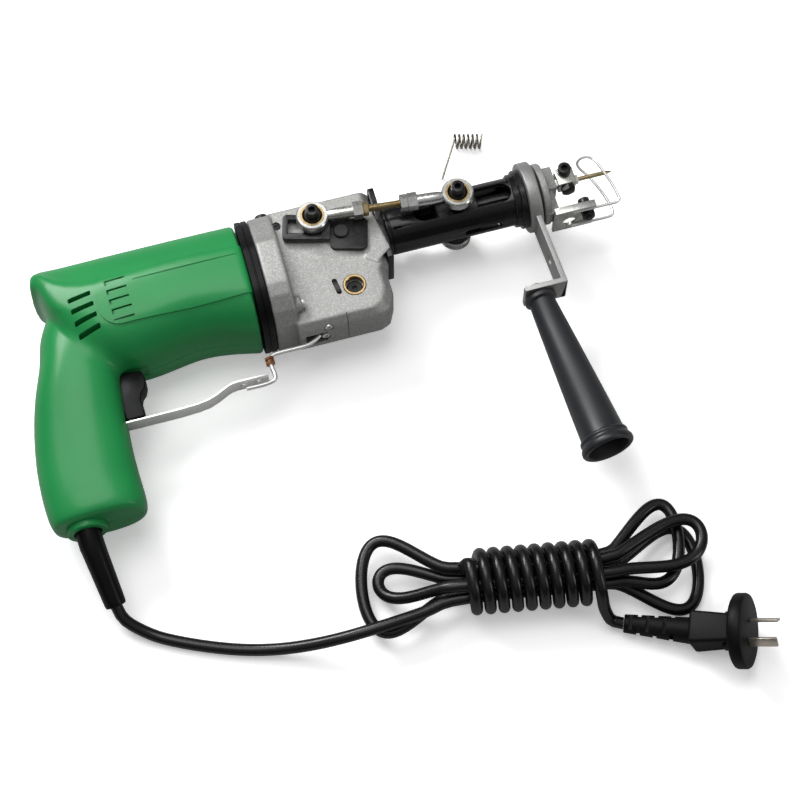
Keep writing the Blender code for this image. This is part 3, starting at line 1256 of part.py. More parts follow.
def hank_loop(side, leave, arrive, reach, width, low, shift=0.0):
    """Tear-shaped loop beyond one end of the bundle, from one strand's slot to another's."""
    (v0, z0), (v1, z1) = leave, arrive
    middle, half = (v0 + v1) / 2, (v0 - v1) / 2
    points = []
    for i in range(1, LOOP_POINTS):
        s = i / LOOP_POINTS
        wave = math.sin(math.pi * s)
        u = side * (BUNDLE_HALF + reach * wave)
        v = middle + half * math.cos(math.pi * s) + width * math.sin(math.tau * s) * wave ** 0.45
        v += shift * wave ** 0.8
        level = z0 + (z1 - z0) * s * s * (3 - 2 * s)
        points.append((u, v, level + (low - level) * wave ** 0.9))
    return points


def hank_points():
    """Six passes through the bundle joined by end loops, then the wraps and the tail."""
    west, east = -BUNDLE_HALF, BUNDLE_HALF
    slots = {name: ring_slot(angle) for name, angle in
             (("m-", 180), ("m+", 0), ("b-", 240), ("b+", 300), ("t-", 120), ("t+", 60))}
    floor = CORD_RADIUS + GAP
    layer = 2 * CORD_RADIUS + TUBE_SPACING
    out = [(west - 3 * CORD_RADIUS, slots["m-"][0] * 1.55, slots["m-"][1])]
    for leave, arrive, side, reach, width, level, shift in HANK_LOOPS:
        out += [(-side * BUNDLE_HALF, *slots[leave]), (side * BUNDLE_HALF, *slots[leave])]
        out += hank_loop(side, slots[leave], slots[arrive], reach, width, floor + level * layer, shift)
    out += [(east, *slots["t+"]), (west, *slots["t+"])]
    out += wrap_points()
    out += tail_points(out[-1])
    return [hank_to_machine(point) for point in out]


# loops in the order of winding: slots left and entered, end, reach, half width, layer, sideways shift
HANK_LOOPS = (
    ("m-", "m+", 1, RIGHT_REACH * 0.692, -0.0221, 1.433, 0.0208),
    ("m+", "b-", -1, LEFT_REACH * 0.984, 0.0290, 0.607, 0.0038),
    ("b-", "b+", 1, RIGHT_REACH * 0.861, -0.0274, 0.0, 0.0033),
    ("b+", "t-", -1, LEFT_REACH * 0.800, 0.0083, 0.543, 0.0080),
    ("t-", "t+", 1, RIGHT_REACH * 0.889, -0.0127, 2.428, 0.0168),
)


def wrap_points():
    """Turns wound along the bundle, that stop where the tail leaves them."""
    start = math.radians(60.0)
    west = -HANK_WRAPS * WRAP_PITCH / 2
    points = []
    for i in range(HANK_WRAPS * LOOP_POINTS + TAIL_STEPS):
        angle = start + math.tau * i / LOOP_POINTS
        along = west + WRAP_PITCH * i / LOOP_POINTS
        points.append((along, WRAP_RADIUS * math.cos(angle),
                       HANK_HEIGHT + WRAP_RADIUS * math.sin(angle)))
    return points


def tail_points(last):
    """Down from the last wrap to the table and round into the plug."""
    plug = PLUG_START - HANK_CENTRE
    back = Matrix.Rotation(-HANK_ANGLE, 4, "Z")
    end = back @ plug
    heading = back @ (PLUG_BACK - PLUG_START).normalized()
    before = end - heading * 2 * CORD_RADIUS
    u, v, z = last
    drop = [Vector(last)] + [Vector((u + a, v + b, z + c)) for a, b, c in TAIL_SHARES]
    drop.append(before)
    return [tuple(point) for point in (*curve_through(drop, 1.3 * CORD_RADIUS)[1:], end - heading * GAP)]


def hank_to_machine(point):
    u, v, z = point
    flat = Matrix.Rotation(HANK_ANGLE, 4, "Z") @ Vector((u, v, 0.0))
    return HANK_CENTRE + flat + Vector((0.0, 0.0, z - LIE_HEIGHT))


def least_self_gap(points, radius):
    """Smallest clear distance between stretches of the tube that aren't neighbours."""
    run = [0.0]
    for a, b in zip(points, points[1:]):
        run.append(run[-1] + (b - a).length)
    least = 1.0
    for i in range(len(points) - 1):
        for j in range(i + 1, len(points) - 1):
            if run[j] - run[i + 1] < math.pi * radius * 2:
                continue
            least = min(least, segment_distance(points[i], points[i + 1], points[j], points[j + 1]))
    return least - 2 * radius


def segment_distance(a, b, c, d):
    """Distance between two straight stretches, from points along both."""
    least = 1.0
    for i in range(3):
        p = a.lerp(b, i / 2)
        axis = d - c
        t = max(0.0, min(1.0, (p - c).dot(axis) / max(axis.length_squared, 1e-12)))
        least = min(least, (p - c - axis * t).length)
    return least


def cord_parts(root):
    along = (SLEEVE_END - SLEEVE_BEND).normalized()
    down = Vector((0.0, -1.0, 0.0))
    middle = 0.5 * (SLEEVE_TOP_RADIUS + SLEEVE_END_RADIUS)
    relief = swept([(SLEEVE_START, down, SLEEVE_TOP_RADIUS),
                    (0.5 * (SLEEVE_START + SLEEVE_BEND), down, SLEEVE_TOP_RADIUS),
                    (SLEEVE_BEND.lerp(SLEEVE_END, 0.1), (down + along).normalized(), SLEEVE_TOP_RADIUS),
                    (SLEEVE_BEND.lerp(SLEEVE_END, 0.35), along, middle),
                    (SLEEVE_END, along, SLEEVE_END_RADIUS)])
    add_piece("cord_sleeve", relief, "black_plastic", root)
    points = hank_points()
    print("hank: least gap to itself", round(least_self_gap(points, CORD_RADIUS) * 1000, 2), "mm")
    tube("cord_hank", points, CORD_RADIUS, "black_plastic", root)
    tube("cord_lead", lead_route(), CORD_RADIUS, "black_plastic", root, 2)
    plug_parts(root)
    coil = spring_points()
    print("spring: least gap to itself",
          round(least_self_gap(coil, SPRING_WIRE_RADIUS) * 1000, 2), "mm")
    tube("spare_spring", coil, SPRING_WIRE_RADIUS, "black_steel", root)


def plug_parts(root):
    """Moulded round plug with its ribbed strain relief and two splayed flat pins."""
    lay = Vector((0.0, 0.0, -LIE_HEIGHT))
    axis = (PLUG_FACE - PLUG_BACK).normalized()
    length = (PLUG_FACE - PLUG_BACK).length
    run = (PLUG_BACK - PLUG_START).length
    pitch = PLUG_RELIEF_LENGTH / PLUG_RIBS
    profile = [(0.0, 0.0), (0.0, PLUG_RELIEF_RADIUS)]
    for i in range(PLUG_RIBS):
        radius = PLUG_RELIEF_RADIUS + (PLUG_NECK_RADIUS - PLUG_RELIEF_RADIUS) * (i + 1) / PLUG_RIBS
        profile += [((i + 0.55) * pitch, radius), ((i + 1.0) * pitch, radius * 0.84)]
    profile += [(run, PLUG_NECK_RADIUS * 0.9), (run + pitch, PLUG_NECK_RADIUS * 0.8), (run + pitch, 0.0)]
    relief = aim(turned(profile), PLUG_START + lay, PLUG_BACK - PLUG_START)
    back = length - PLUG_DISC_THICKNESS
    profile = [(-pitch / 6, 0.0), (-pitch / 6, PLUG_NECK_RADIUS * 1.05), (back - pitch / 2, PLUG_BODY_RADIUS),
               (back, PLUG_BODY_RADIUS * 1.15), (back + pitch / 6, PLUG_DISC_RADIUS - pitch / 5),
               (back + pitch / 2, PLUG_DISC_RADIUS), (length - pitch / 4, PLUG_DISC_RADIUS),
               (length, PLUG_DISC_RADIUS - pitch / 3), (length, 0.0)]
    body = add_piece("plug_body", aim(turned(profile), PLUG_BACK + lay, axis), "black_plastic", root)
    join(body, relief)
    for name, side in (("plug_pin_near", 1), ("plug_pin_far", -1)):
        pin = block((-PIN_THICKNESS / 2, -PIN_WIDTH / 2, 0.0), (PIN_THICKNESS / 2, PIN_WIDTH / 2, PIN_LENGTH))
        pin.transform(Matrix.Translation((side * PIN_SPREAD, 0.0, GAP))
                      @ Matrix.Rotation(side * PIN_SPLAY, 4, "Z"))
        add_piece(name, aim(pin, PLUG_FACE + lay, axis), "brass", root)


def spring_points():
    """Leg, coil and short end of the spare torsion spring."""
    axis = Vector((math.cos(SPRING_ANGLE), math.sin(SPRING_ANGLE), 0.0))
    across = Vector((-axis.y, axis.x, 0.0))
    low = Vector((0.0, 0.0, SPRING_WIRE_RADIUS + GAP - LIE_HEIGHT))
    middle = SPRING_START + low + Vector((0.0, 0.0, SPRING_COIL_RADIUS))
    top = middle + Vector((0.0, 0.0, SPRING_COIL_RADIUS))
    points = [SPRING_LEG_END + low, top - across * SPRING_COIL_RADIUS / 2]
    count = SPRING_TURNS * SPRING_POINTS
    for i in range(count + 1):
        angle = math.pi - math.tau * i / SPRING_POINTS
        points.append(middle + axis * SPRING_PITCH * i / SPRING_POINTS
                      + across * SPRING_COIL_RADIUS * math.sin(angle)
                      - Vector((0.0, 0.0, SPRING_COIL_RADIUS * math.cos(angle))))
    points.append(points[-1] + across * 4 * SPRING_WIRE_RADIUS + axis * SPRING_WIRE_RADIUS)
    return points


def stand_on_origin(root):
    """Move the machine so that its own base centre, without the lead, is the origin."""
    bpy.context.view_layer.update()
    graph = bpy.context.evaluated_depsgraph_get()
    low, high = Vector((1.0, 1.0, 1.0)), Vector((-1.0, -1.0, -1.0))
    for piece in bpy.context.scene.objects:
        if piece.type == "EMPTY" or piece.hide_render or piece.name in CORD_PIECES:
            continue
        shaped = piece.evaluated_get(graph)
        for vertex in shaped.to_mesh().vertices:
            place = piece.matrix_world @ vertex.co
            low = Vector(map(min, low, place))
            high = Vector(map(max, high, place))
        shaped.to_mesh_clear()
    root.location -= Vector(((low.x + high.x) / 2, (low.y + high.y) / 2, low.z))


# the free lead and what is on its end
CORD_PIECES = ("cord_lead", "cord_hank", "plug_body", "plug_pin_near", "plug_pin_far")


def build():
    clear_scene()
    root = add_empty("machine", (0.0, 0.0, LIE_HEIGHT))
    housing_shell("housing_near_shell", 1, root)
    housing_shell("housing_far_shell", -1, root)
    end_collar(root)
    stator(root)
    bearing("rear_bearing", SHAFT_REAR_X + GAP, root)
    bearing("front_bearing", COLLAR_X + COLLAR_LENGTH - BEARING_WIDTH, root)
    brush_holder("brush_holder_near", 1, root)
    brush_holder("brush_holder_far", -1, root)
    motor_parts(root)
    gearbox(root)
    gearbox_details(root)
    gear_train(root)
    barrel_parts(root)
    handle_parts(root)
    crosshead_parts(root)
    rod_parts(root)
    foot_parts(root)
    trigger_parts(root)
    cord_parts(root)
    stand_on_origin(root)


build()
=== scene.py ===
# %% [markdown]
# # A handheld tufting machine, dressed for its photograph
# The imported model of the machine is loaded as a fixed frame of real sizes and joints. This notebook
# adds what a photograph shows on top of it: rounded mouldings, machined edges, threads, the wound
# lead, and a procedural finish for each surface. Each piece is modelled at its place, in metres.

# %% Load the frame
import json
import math
import bmesh
import bpy
from mathutils import Matrix, Vector


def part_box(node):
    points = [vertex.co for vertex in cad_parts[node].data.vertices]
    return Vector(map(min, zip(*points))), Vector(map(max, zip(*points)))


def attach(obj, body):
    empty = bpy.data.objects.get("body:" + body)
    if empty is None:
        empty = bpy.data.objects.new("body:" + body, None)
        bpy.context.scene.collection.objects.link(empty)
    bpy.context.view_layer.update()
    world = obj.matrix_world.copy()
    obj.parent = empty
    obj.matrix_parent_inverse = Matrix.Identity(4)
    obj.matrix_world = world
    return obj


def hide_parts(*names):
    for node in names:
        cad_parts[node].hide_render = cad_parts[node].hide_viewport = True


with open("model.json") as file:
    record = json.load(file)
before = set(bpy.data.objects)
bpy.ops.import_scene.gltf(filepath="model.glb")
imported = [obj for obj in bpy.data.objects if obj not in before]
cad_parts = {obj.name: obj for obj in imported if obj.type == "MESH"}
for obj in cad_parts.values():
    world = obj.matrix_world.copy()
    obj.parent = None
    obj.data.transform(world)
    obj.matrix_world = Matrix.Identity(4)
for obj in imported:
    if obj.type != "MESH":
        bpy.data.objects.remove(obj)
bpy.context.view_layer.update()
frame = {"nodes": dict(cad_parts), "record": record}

nodes = frame["nodes"]

# %% [markdown]
# The machine has a frame of its own, which all its drawings use: X runs along the barrel to the
# needle, Y to the top edge of the body, Z out of the side that faces us, and zero is the barrel's
# axis above the crankshaft. One offset carries that frame to where the model lies on the table.
# The offset is read from two pieces of the model, so it stays right if the model changes.
# Sizes in the cells below are millimetres of this frame, unless a comment says metres.

# %% Where the machine's own frame lies
barrel_low, barrel_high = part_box("barrel")
shaft_low, shaft_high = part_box("crankshaft")
HOME = Vector(((shaft_low.x + shaft_high.x) / 2, (barrel_low.y + barrel_high.y) / 2,
               (barrel_low.z + barrel_high.z) / 2))
TABLE = 37.5  # the table's top lies this far below the barrel's axis
print("machine frame at", [round(c, 4) for c in HOME], "and the table", TABLE, "mm below it")


def at(x, y, z=0.0):
    """A point of the machine's own frame, given in millimetres, as metres on the table."""
    return HOME + Vector((x, y, z)) * 0.001


# %% [markdown]
# The camera comes first, so that every later choice can be judged in the picture. The photograph
# was taken from high above the table. Its direction and distance were worked out from round and
# square parts whose real shape is known, such as the mouth of the side handle.

# %% Camera
DISTANCE, LENS = 1.24, 87.2  # metres from the point aimed at, and millimetres of focal length
bpy.ops.object.camera_add()
camera = bpy.context.object
back = Vector((-0.11082, -0.39960, 0.90996))
up = Vector((0.24318, 0.87686, 0.41469))
right = up.cross(back)
aim_point = at(11.69, -100.73)
aim_point.z = 0.0
turn = Matrix((right, up, back)).transposed().to_4x4()
camera.matrix_world = Matrix.Translation(aim_point + back * DISTANCE) @ turn
camera.data.lens = LENS
camera.data.sensor_width = 36.0
bpy.context.scene.camera = camera
print("camera", [round(c, 3) for c in camera.location])

# %% [markdown]
# The helpers below do what a hand does in Blender's window. `only` makes one object the active
# selection and leaves edit mode, `pick` selects faces, edges or points in edit mode by their place,
# and `use` adds a modifier and applies it, so that a finished piece is a plain mesh. A boolean is
# the workshop's cutter: `carve` takes a tool out of a piece, or welds it on.

# %% Select, cut and finish by hand
def only(obj):
    """Leave edit mode and make this the one selected object."""
    if bpy.context.object and bpy.context.object.mode == "EDIT":
        bpy.ops.object.mode_set(mode="OBJECT")
    bpy.ops.object.select_all(action="DESELECT")
    obj.select_set(True)
    bpy.context.view_layer.objects.active = obj
    return obj


def pick(obj, test, kind="FACE"):
    """In edit mode, select only the faces, edges or points whose middle passes the test."""
    if obj.mode != "EDIT":
        only(obj)
        bpy.ops.object.mode_set(mode="EDIT")
    bpy.ops.mesh.select_mode(type=kind)
    bpy.ops.mesh.select_all(action="DESELECT")
    mesh = bmesh.from_edit_mesh(obj.data)
    count = 0
    for item in {"FACE": mesh.faces, "EDGE": mesh.edges, "VERT": mesh.verts}[kind]:
        if kind == "FACE":
            good = test(item.calc_center_median(), item.normal)
        elif kind == "EDGE":
            good = test((item.verts[0].co + item.verts[1].co) / 2, item)
        else:
            good = test(item.co, item)
        if good:
            item.select_set(True)
            count += 1
    mesh.select_flush_mode()
    bmesh.update_edit_mesh(obj.data)
    return count


def whole_mesh(obj):
    """Go into edit mode with all of the piece selected."""
    only(obj)
    bpy.ops.object.mode_set(mode="EDIT")
    bpy.ops.mesh.select_all(action="SELECT")


def weld(gap=0.000002):
    """In edit mode, merge points closer than a gap and turn all faces outwards."""
    bpy.ops.mesh.select_all(action="SELECT")
    bpy.ops.mesh.remove_doubles(threshold=gap)
    bpy.ops.mesh.normals_make_consistent(inside=False)
    bpy.ops.object.mode_set(mode="OBJECT")


def use(obj, kind, **settings):
    """Add a modifier with its settings and apply it."""
    only(obj)
    modifier = obj.modifiers.new(kind.lower(), kind)
    for key, value in settings.items():
        setattr(modifier, key, value)
    bpy.ops.object.modifier_apply(modifier=modifier.name)
    return obj


def carve(obj, tool, operation="DIFFERENCE"):
    """Cut a tool out of the piece, or weld it on, and throw the tool away."""
    use(obj, "BOOLEAN", object=tool, operation=operation, solver="EXACT")
    bpy.data.objects.remove(tool, do_unlink=True)
    return obj


def named(name):
    """Name the object that was just added, and return it."""
    bpy.context.object.name = name
    return bpy.context.object


def freeze(obj, place=True):
    """Write the piece's turn and size into its mesh, and its place too."""
    only(obj)
    bpy.ops.object.transform_apply(location=place, rotation=True, scale=True)
    return obj


def settle(obj, angle=35.0):
    """Freeze the piece and smooth it up to an edge angle."""
    freeze(obj)
    bpy.ops.object.shade_smooth_by_angle(angle=math.radians(angle))
    return obj


def bevel_edges(obj, width, segments=2, angle=35.0):
    """Break the edges that are sharper than an angle; the width is in metres."""
    return use(obj, "BEVEL", width=width, segments=segments, limit_method="ANGLE",
               angle_limit=math.radians(angle), harden_normals=False)


def box_at(low, high, name="block"):
    """A box between two corners given in the machine's millimetres."""
    a, b = at(*low), at(*high)
    bpy.ops.mesh.primitive_cube_add(size=1.0, location=(a + b) / 2)
    obj = named(name)
    obj.scale = [abs(b[i] - a[i]) for i in range(3)]
    return freeze(obj, place=False)


# %% [markdown]
# Much of the machine is turned on a lathe: screws, bushes, collars, the handle. A turned piece is
# drawn as half of its outline, one chain of points and edges, and spun round its axis. A cylinder
# primitive would need a row of insets and extrusions for each step of such an outline.

# %% Round stock and turned pieces
def bar_at(start, end, radius, name="bar", sides=48):
    """A round bar between two points given in metres."""
    along = end - start
    bpy.ops.mesh.primitive_cylinder_add(vertices=sides, radius=radius, depth=along.length,
                                        location=(start + end) / 2,
                                        rotation=along.to_track_quat("Z", "Y").to_euler())
    return named(name)


def open_line(points, name):
    """An object that is one chain of edges through (radius, height) points in millimetres."""
    bpy.ops.mesh.primitive_plane_add(size=0.001, location=(0, 0, 0))
    obj = named(name)
    whole_mesh(obj)
    bpy.ops.mesh.delete(type="VERT")
    mesh = bmesh.from_edit_mesh(obj.data)
    chain = [mesh.verts.new((radius * 0.001, 0.0, height * 0.001)) for radius, height in points]
    for pair in zip(chain, chain[1:]):
        mesh.edges.new(pair)
    bmesh.update_edit_mesh(obj.data)
    return obj


def stand_on(obj, start, way):
    """Stand a piece made upright at the origin on a point, with its axis along a direction."""
    obj.matrix_world = Matrix.Translation(start) @ way.to_track_quat("Z", "Y").to_matrix().to_4x4()
    return freeze(obj)


def turned(profile, start, axis, name, sides=64):
    """Spin a half outline of (height, radius) in millimetres round an axis through start."""
    obj = open_line([(radius, height) for height, radius in profile], name)
    bpy.ops.mesh.select_all(action="SELECT")
    bpy.ops.mesh.spin(steps=sides, angle=math.tau, center=(0, 0, 0), axis=(0, 0, 1), dupli=False)
    weld()
    return stand_on(obj, start, Vector(axis))


print("helpers ready; Blender", bpy.app.version_string)

# %% [markdown]
# A finish is made once and used on every surface that has it. Each one starts from Blender's Principled
# shader. Shared effects, such as fine grain, or handling wear together with painted shade in hollows, are
# node groups that give a colour, a roughness and a bump height, so that the same grain can sit on plastic and
# on metal at different strengths.

# %% Node groups for grain, and for wear with painted shade in hollows
def new_group(name, inputs, outputs):
    """An empty node group with its inputs and outputs."""
    group = bpy.data.node_groups.new(name, "ShaderNodeTree")
    for label, kind, value in inputs:
        socket = group.interface.new_socket(label, in_out="INPUT", socket_type=kind)
        socket.default_value = value
    for label, kind in outputs:
        group.interface.new_socket(label, in_out="OUTPUT", socket_type=kind)
    return group, group.nodes.new("NodeGroupInput"), group.nodes.new("NodeGroupOutput")


def add(tree, kind, links=(), **values):
    """Add a node, set its properties and sockets, and link what feeds it."""
    node = tree.nodes.new(kind)
    for key, value in values.items():
        if hasattr(node, key):
            setattr(node, key, value)
        else:
            node.inputs[key.replace("_", " ").title()].default_value = value
    for socket, source in links:
        tree.links.new(source, node.inputs[socket])
    return node


def ramp(tree, source, stops, mode="LINEAR"):
    """Turn a value into a colour or a grey by stops of (place, colour)."""
    node = tree.nodes.new("ShaderNodeValToRGB")
    node.color_ramp.interpolation = mode
    while len(node.color_ramp.elements) < len(stops):
        node.color_ramp.elements.new(1.0)
    for element, (place, colour) in zip(node.color_ramp.elements, stops):
        element.position = place
        element.color = (*colour, 1.0) if hasattr(colour, "__len__") else (colour, colour, colour, 1.0)
    tree.links.new(source, node.inputs["Fac"])
    return node


def grain_group():
    """Fine surface grain over slow unevenness: shifts the colour and roughness, lifts the surface."""
    group, inlet, outlet = new_group(
        "surface_grain",
        [("Color", "NodeSocketColor", (0.5, 0.5, 0.5, 1.0)), ("Roughness", "NodeSocketFloat", 0.4),
         ("Scale", "NodeSocketFloat", 900.0), ("Shade", "NodeSocketFloat", 0.1),
         ("Rough Shift", "NodeSocketFloat", 0.1)],
        [("Color", "NodeSocketColor"), ("Roughness", "NodeSocketFloat"), ("Height", "NodeSocketFloat")])
    place = add(group, "ShaderNodeTexCoord").outputs["Object"]
    fine = add(group, "ShaderNodeTexNoise", [("Vector", place), ("Scale", inlet.outputs["Scale"])],
               detail=4.0, roughness=0.6).outputs["Fac"]
    slow = add(group, "ShaderNodeTexNoise", [("Vector", place)], scale=22.0, detail=3.0).outputs["Fac"]
    blend = add(group, "ShaderNodeMath", [(0, fine), (1, slow)], operation="MULTIPLY").outputs[0]
    level = add(group, "ShaderNodeMapRange", [("Value", blend)], from_min=0.12, from_max=0.40,
                to_min=-1.0, to_max=1.0).outputs[0]
    shade = add(group, "ShaderNodeMath", [(0, level), (1, inlet.outputs["Shade"])],
                operation="MULTIPLY").outputs[0]
    lift = add(group, "ShaderNodeMath", [(0, shade)], operation="ADD")
    lift.inputs[1].default_value = 1.0
    tint = add(group, "ShaderNodeVectorMath", [(0, inlet.outputs["Color"])], operation="SCALE")
    group.links.new(lift.outputs[0], tint.inputs["Scale"])
    rough = add(group, "ShaderNodeMath", [(0, level), (1, inlet.outputs["Rough Shift"])],
                operation="MULTIPLY").outputs[0]
    total = add(group, "ShaderNodeMath", [(0, rough), (1, inlet.outputs["Roughness"])], operation="ADD",
                use_clamp=True).outputs[0]
    group.links.new(tint.outputs[0], outlet.inputs["Color"])
    group.links.new(total, outlet.inputs["Roughness"])
    group.links.new(fine, outlet.inputs["Height"])
    return group


def wear_and_shade_group():
    """Pale rubbed edges, and painted shade that darkens the hollows, both from how sharply the surface turns.
    """
    group, inlet, outlet = new_group(
        "edge_wear_and_hollow_shade",
        [("Color", "NodeSocketColor", (0.5, 0.5, 0.5, 1.0)),
         ("Worn", "NodeSocketColor", (0.6, 0.6, 0.6, 1.0)),
         ("Amount", "NodeSocketFloat", 0.5), ("Hollow Shade", "NodeSocketFloat", 0.3)],
        [("Color", "NodeSocketColor"), ("Edge", "NodeSocketFloat")])
    place = add(group, "ShaderNodeTexCoord").outputs["Object"]
    sharpness = add(group, "ShaderNodeNewGeometry").outputs["Pointiness"]
    patch = add(group, "ShaderNodeTexNoise", [("Vector", place)], scale=260.0, detail=5.0).outputs["Fac"]
    edge = add(group, "ShaderNodeMapRange", [("Value", sharpness)], from_min=0.53, from_max=0.62).outputs[0]
    broken = add(group, "ShaderNodeMapRange", [("Value", patch)], from_min=0.35, from_max=0.65).outputs[0]
    rub = add(group, "ShaderNodeMath", [(0, edge), (1, broken)], operation="MULTIPLY").outputs[0]
    part = add(group, "ShaderNodeMath", [(0, rub), (1, inlet.outputs["Amount"])], operation="MULTIPLY",
               use_clamp=True).outputs[0]
    worn = add(group, "ShaderNodeMix", data_type="RGBA")
    group.links.new(part, worn.inputs[0])
    group.links.new(inlet.outputs["Color"], worn.inputs[6])
    group.links.new(inlet.outputs["Worn"], worn.inputs[7])
    # painted shade: hollows, where the surface turns inward, are darkened
    dip = add(group, "ShaderNodeMapRange", [("Value", sharpness)], from_min=0.40, from_max=0.49, to_min=1.0,
              to_max=0.0).outputs[0]
    hollow_shade_part = add(group, "ShaderNodeMath", [(0, dip), (1, inlet.outputs["Hollow Shade"])], operation="MULTIPLY",
               use_clamp=True).outputs[0]
    keep = add(group, "ShaderNodeMath", [(1, hollow_shade_part)], operation="SUBTRACT")
    keep.inputs[0].default_value = 1.0
    dark = add(group, "ShaderNodeVectorMath", [(0, worn.outputs[2])], operation="SCALE")
    group.links.new(keep.outputs[0], dark.inputs["Scale"])
    group.links.new(dark.outputs[0], outlet.inputs["Color"])
    group.links.new(part, outlet.inputs["Edge"])
    return group


GRAIN, WEAR_AND_SHADE = grain_group(), wear_and_shade_group()
print("groups:", GRAIN.name, WEAR_AND_SHADE.name)

# %% [markdown]
# `finish_of` builds one material: the base colour goes through the grain, then through the edge wear and the
# painted shade in hollows, and the grain's height drives a small bump. Speckle adds the bright flecks of a
# blasted casting, and a tint adds the cloudy second colour of a plated surface.

# %% Make a finish
FINISHES = {}


def mix_of(tree, part, first, second):
    """Blend two colours by a share; a colour is a node's output or three numbers."""
    mix = add(tree, "ShaderNodeMix", [(0, part)], data_type="RGBA")
    for socket, colour in ((6, first), (7, second)):
        if isinstance(colour, tuple):
            mix.inputs[socket].default_value = (*colour, 1.0)
        else:
            tree.links.new(colour, mix.inputs[socket])
    return mix.outputs[2]


def finish_of(name, colour, roughness, metallic=0.0, scale=900.0, shade=0.1, shift=0.08, bump=0.05,
              depth=0.00005, worn=None, amount=0.4, hollow_shade=0.3, coat=0.0, speckle=0.0, tint=None, shine=0.5):
    """One surface finish: base colour, roughness, grain, bump, rubbed edges and painted shade in hollows."""
    material = bpy.data.materials.new(name)
    material.use_nodes = True
    tree = material.node_tree
    shader = tree.nodes["Principled BSDF"]
    shader.inputs["Metallic"].default_value = metallic
    shader.inputs["Specular IOR Level"].default_value = shine
    if coat:
        shader.inputs["Coat Weight"].default_value = coat
        shader.inputs["Coat Roughness"].default_value = 0.18
    grain = tree.nodes.new("ShaderNodeGroup")
    grain.node_tree = GRAIN
    grain.inputs["Color"].default_value = (*colour, 1.0)
    grain.inputs["Roughness"].default_value = roughness
    grain.inputs["Scale"].default_value = scale
    grain.inputs["Shade"].default_value = shade
    grain.inputs["Rough Shift"].default_value = shift
    source = grain.outputs["Color"]
    if speckle:
        place = add(tree, "ShaderNodeTexCoord").outputs["Object"]
        cells = add(tree, "ShaderNodeTexVoronoi", [("Vector", place)], scale=1500.0).outputs["Color"]
        value = add(tree, "ShaderNodeSeparateColor", [("Color", cells)]).outputs[0]
        fleck = ramp(tree, value, [(0.0, 1.0 - speckle), (0.75, 1.0), (1.0, 1.0 + speckle * 1.3)]).outputs[0]
        mixed = add(tree, "ShaderNodeVectorMath", [(0, source), (1, fleck)], operation="MULTIPLY")
        source = mixed.outputs[0]
    if tint:
        place = add(tree, "ShaderNodeTexCoord").outputs["Object"]
        cloud = add(tree, "ShaderNodeTexNoise", [("Vector", place)], scale=60.0, detail=3.0).outputs["Fac"]
        part = add(tree, "ShaderNodeMapRange", [("Value", cloud)], from_min=0.42, from_max=0.68).outputs[0]
        source = mix_of(tree, part, source, tint)
    wear_and_shade = tree.nodes.new("ShaderNodeGroup")
    wear_and_shade.node_tree = WEAR_AND_SHADE
    tree.links.new(source, wear_and_shade.inputs["Color"])
    wear_and_shade.inputs["Worn"].default_value = (*(worn or [min(1.0, c * 1.6 + 0.05) for c in colour]), 1.0)
    wear_and_shade.inputs["Amount"].default_value = amount
    # how strongly painted shade darkens this finish's hollows
    wear_and_shade.inputs["Hollow Shade"].default_value = hollow_shade
    tree.links.new(wear_and_shade.outputs["Color"], shader.inputs["Base Color"])
    tree.links.new(grain.outputs["Roughness"], shader.inputs["Roughness"])
    relief = add(tree, "ShaderNodeBump", [("Height", grain.outputs["Height"])])
    relief.inputs["Strength"].default_value = bump
    relief.inputs["Distance"].default_value = depth
    tree.links.new(relief.outputs["Normal"], shader.inputs["Normal"])
    FINISHES[name] = material
    return material


print("finish maker ready")

# %% [markdown]
# These are the machine's own surfaces: a green gloss moulding, blackened and satin steels, a
# blasted casting, zinc and yellow chromate plating, brass, copper, and rubber. Colours are those
# that the surface has in even light. Blacks are kept very low, because the coat and the grain
# lift them again.

# %% The finishes of this machine
# each finish's setting for its hollows says how much painted shade darkens them
finish_of("gloss_green", (0.015, 0.235, 0.062), 0.36, scale=2200.0, shade=0.10, shift=0.05, bump=0.10,
          worn=(0.05, 0.38, 0.13), amount=0.25, hollow_shade=0.35, coat=0.12, shine=0.25)
finish_of("satin_black", (0.003, 0.003, 0.0035), 0.36, scale=1100.0, shade=0.2, bump=0.2, amount=0.25,
          worn=(0.012, 0.012, 0.013), shine=0.15)
finish_of("cord_black", (0.004, 0.004, 0.005), 0.28, scale=700.0, shade=0.15, bump=0.12, amount=0.0,
          hollow_shade=0.0, shine=0.4)
finish_of("oxide_black", (0.010, 0.010, 0.011), 0.34, 0.3, scale=700.0, shade=0.25, bump=0.2,
          worn=(0.12, 0.12, 0.12), amount=0.4, shine=0.35)
finish_of("cast_alloy", (0.33, 0.33, 0.32), 0.50, 0.45, scale=2000.0, shade=0.12, shift=0.10, bump=0.5,
          worn=(0.66, 0.66, 0.65), amount=0.5, hollow_shade=0.6, speckle=0.2)
finish_of("zinc_plate", (0.62, 0.63, 0.62), 0.27, 0.92, scale=500.0, shade=0.12, bump=0.12,
          worn=(0.75, 0.75, 0.73), tint=(0.47, 0.46, 0.40))
finish_of("yellow_plate", (0.36, 0.24, 0.085), 0.33, 0.95, scale=500.0, shade=0.18, bump=0.15,
          worn=(0.62, 0.52, 0.30), tint=(0.42, 0.36, 0.22))
finish_of("bright_steel", (0.78, 0.78, 0.77), 0.38, 0.7, scale=420.0, shade=0.10, bump=0.10,
          worn=(0.70, 0.70, 0.70))
finish_of("brass_plate", (0.44, 0.31, 0.14), 0.32, 0.95, scale=420.0, shade=0.12, bump=0.10,
          worn=(0.70, 0.58, 0.34))
finish_of("copper_part", (0.42, 0.17, 0.07), 0.32, 0.9, scale=420.0, shade=0.2, bump=0.15,
          worn=(0.72, 0.42, 0.26))
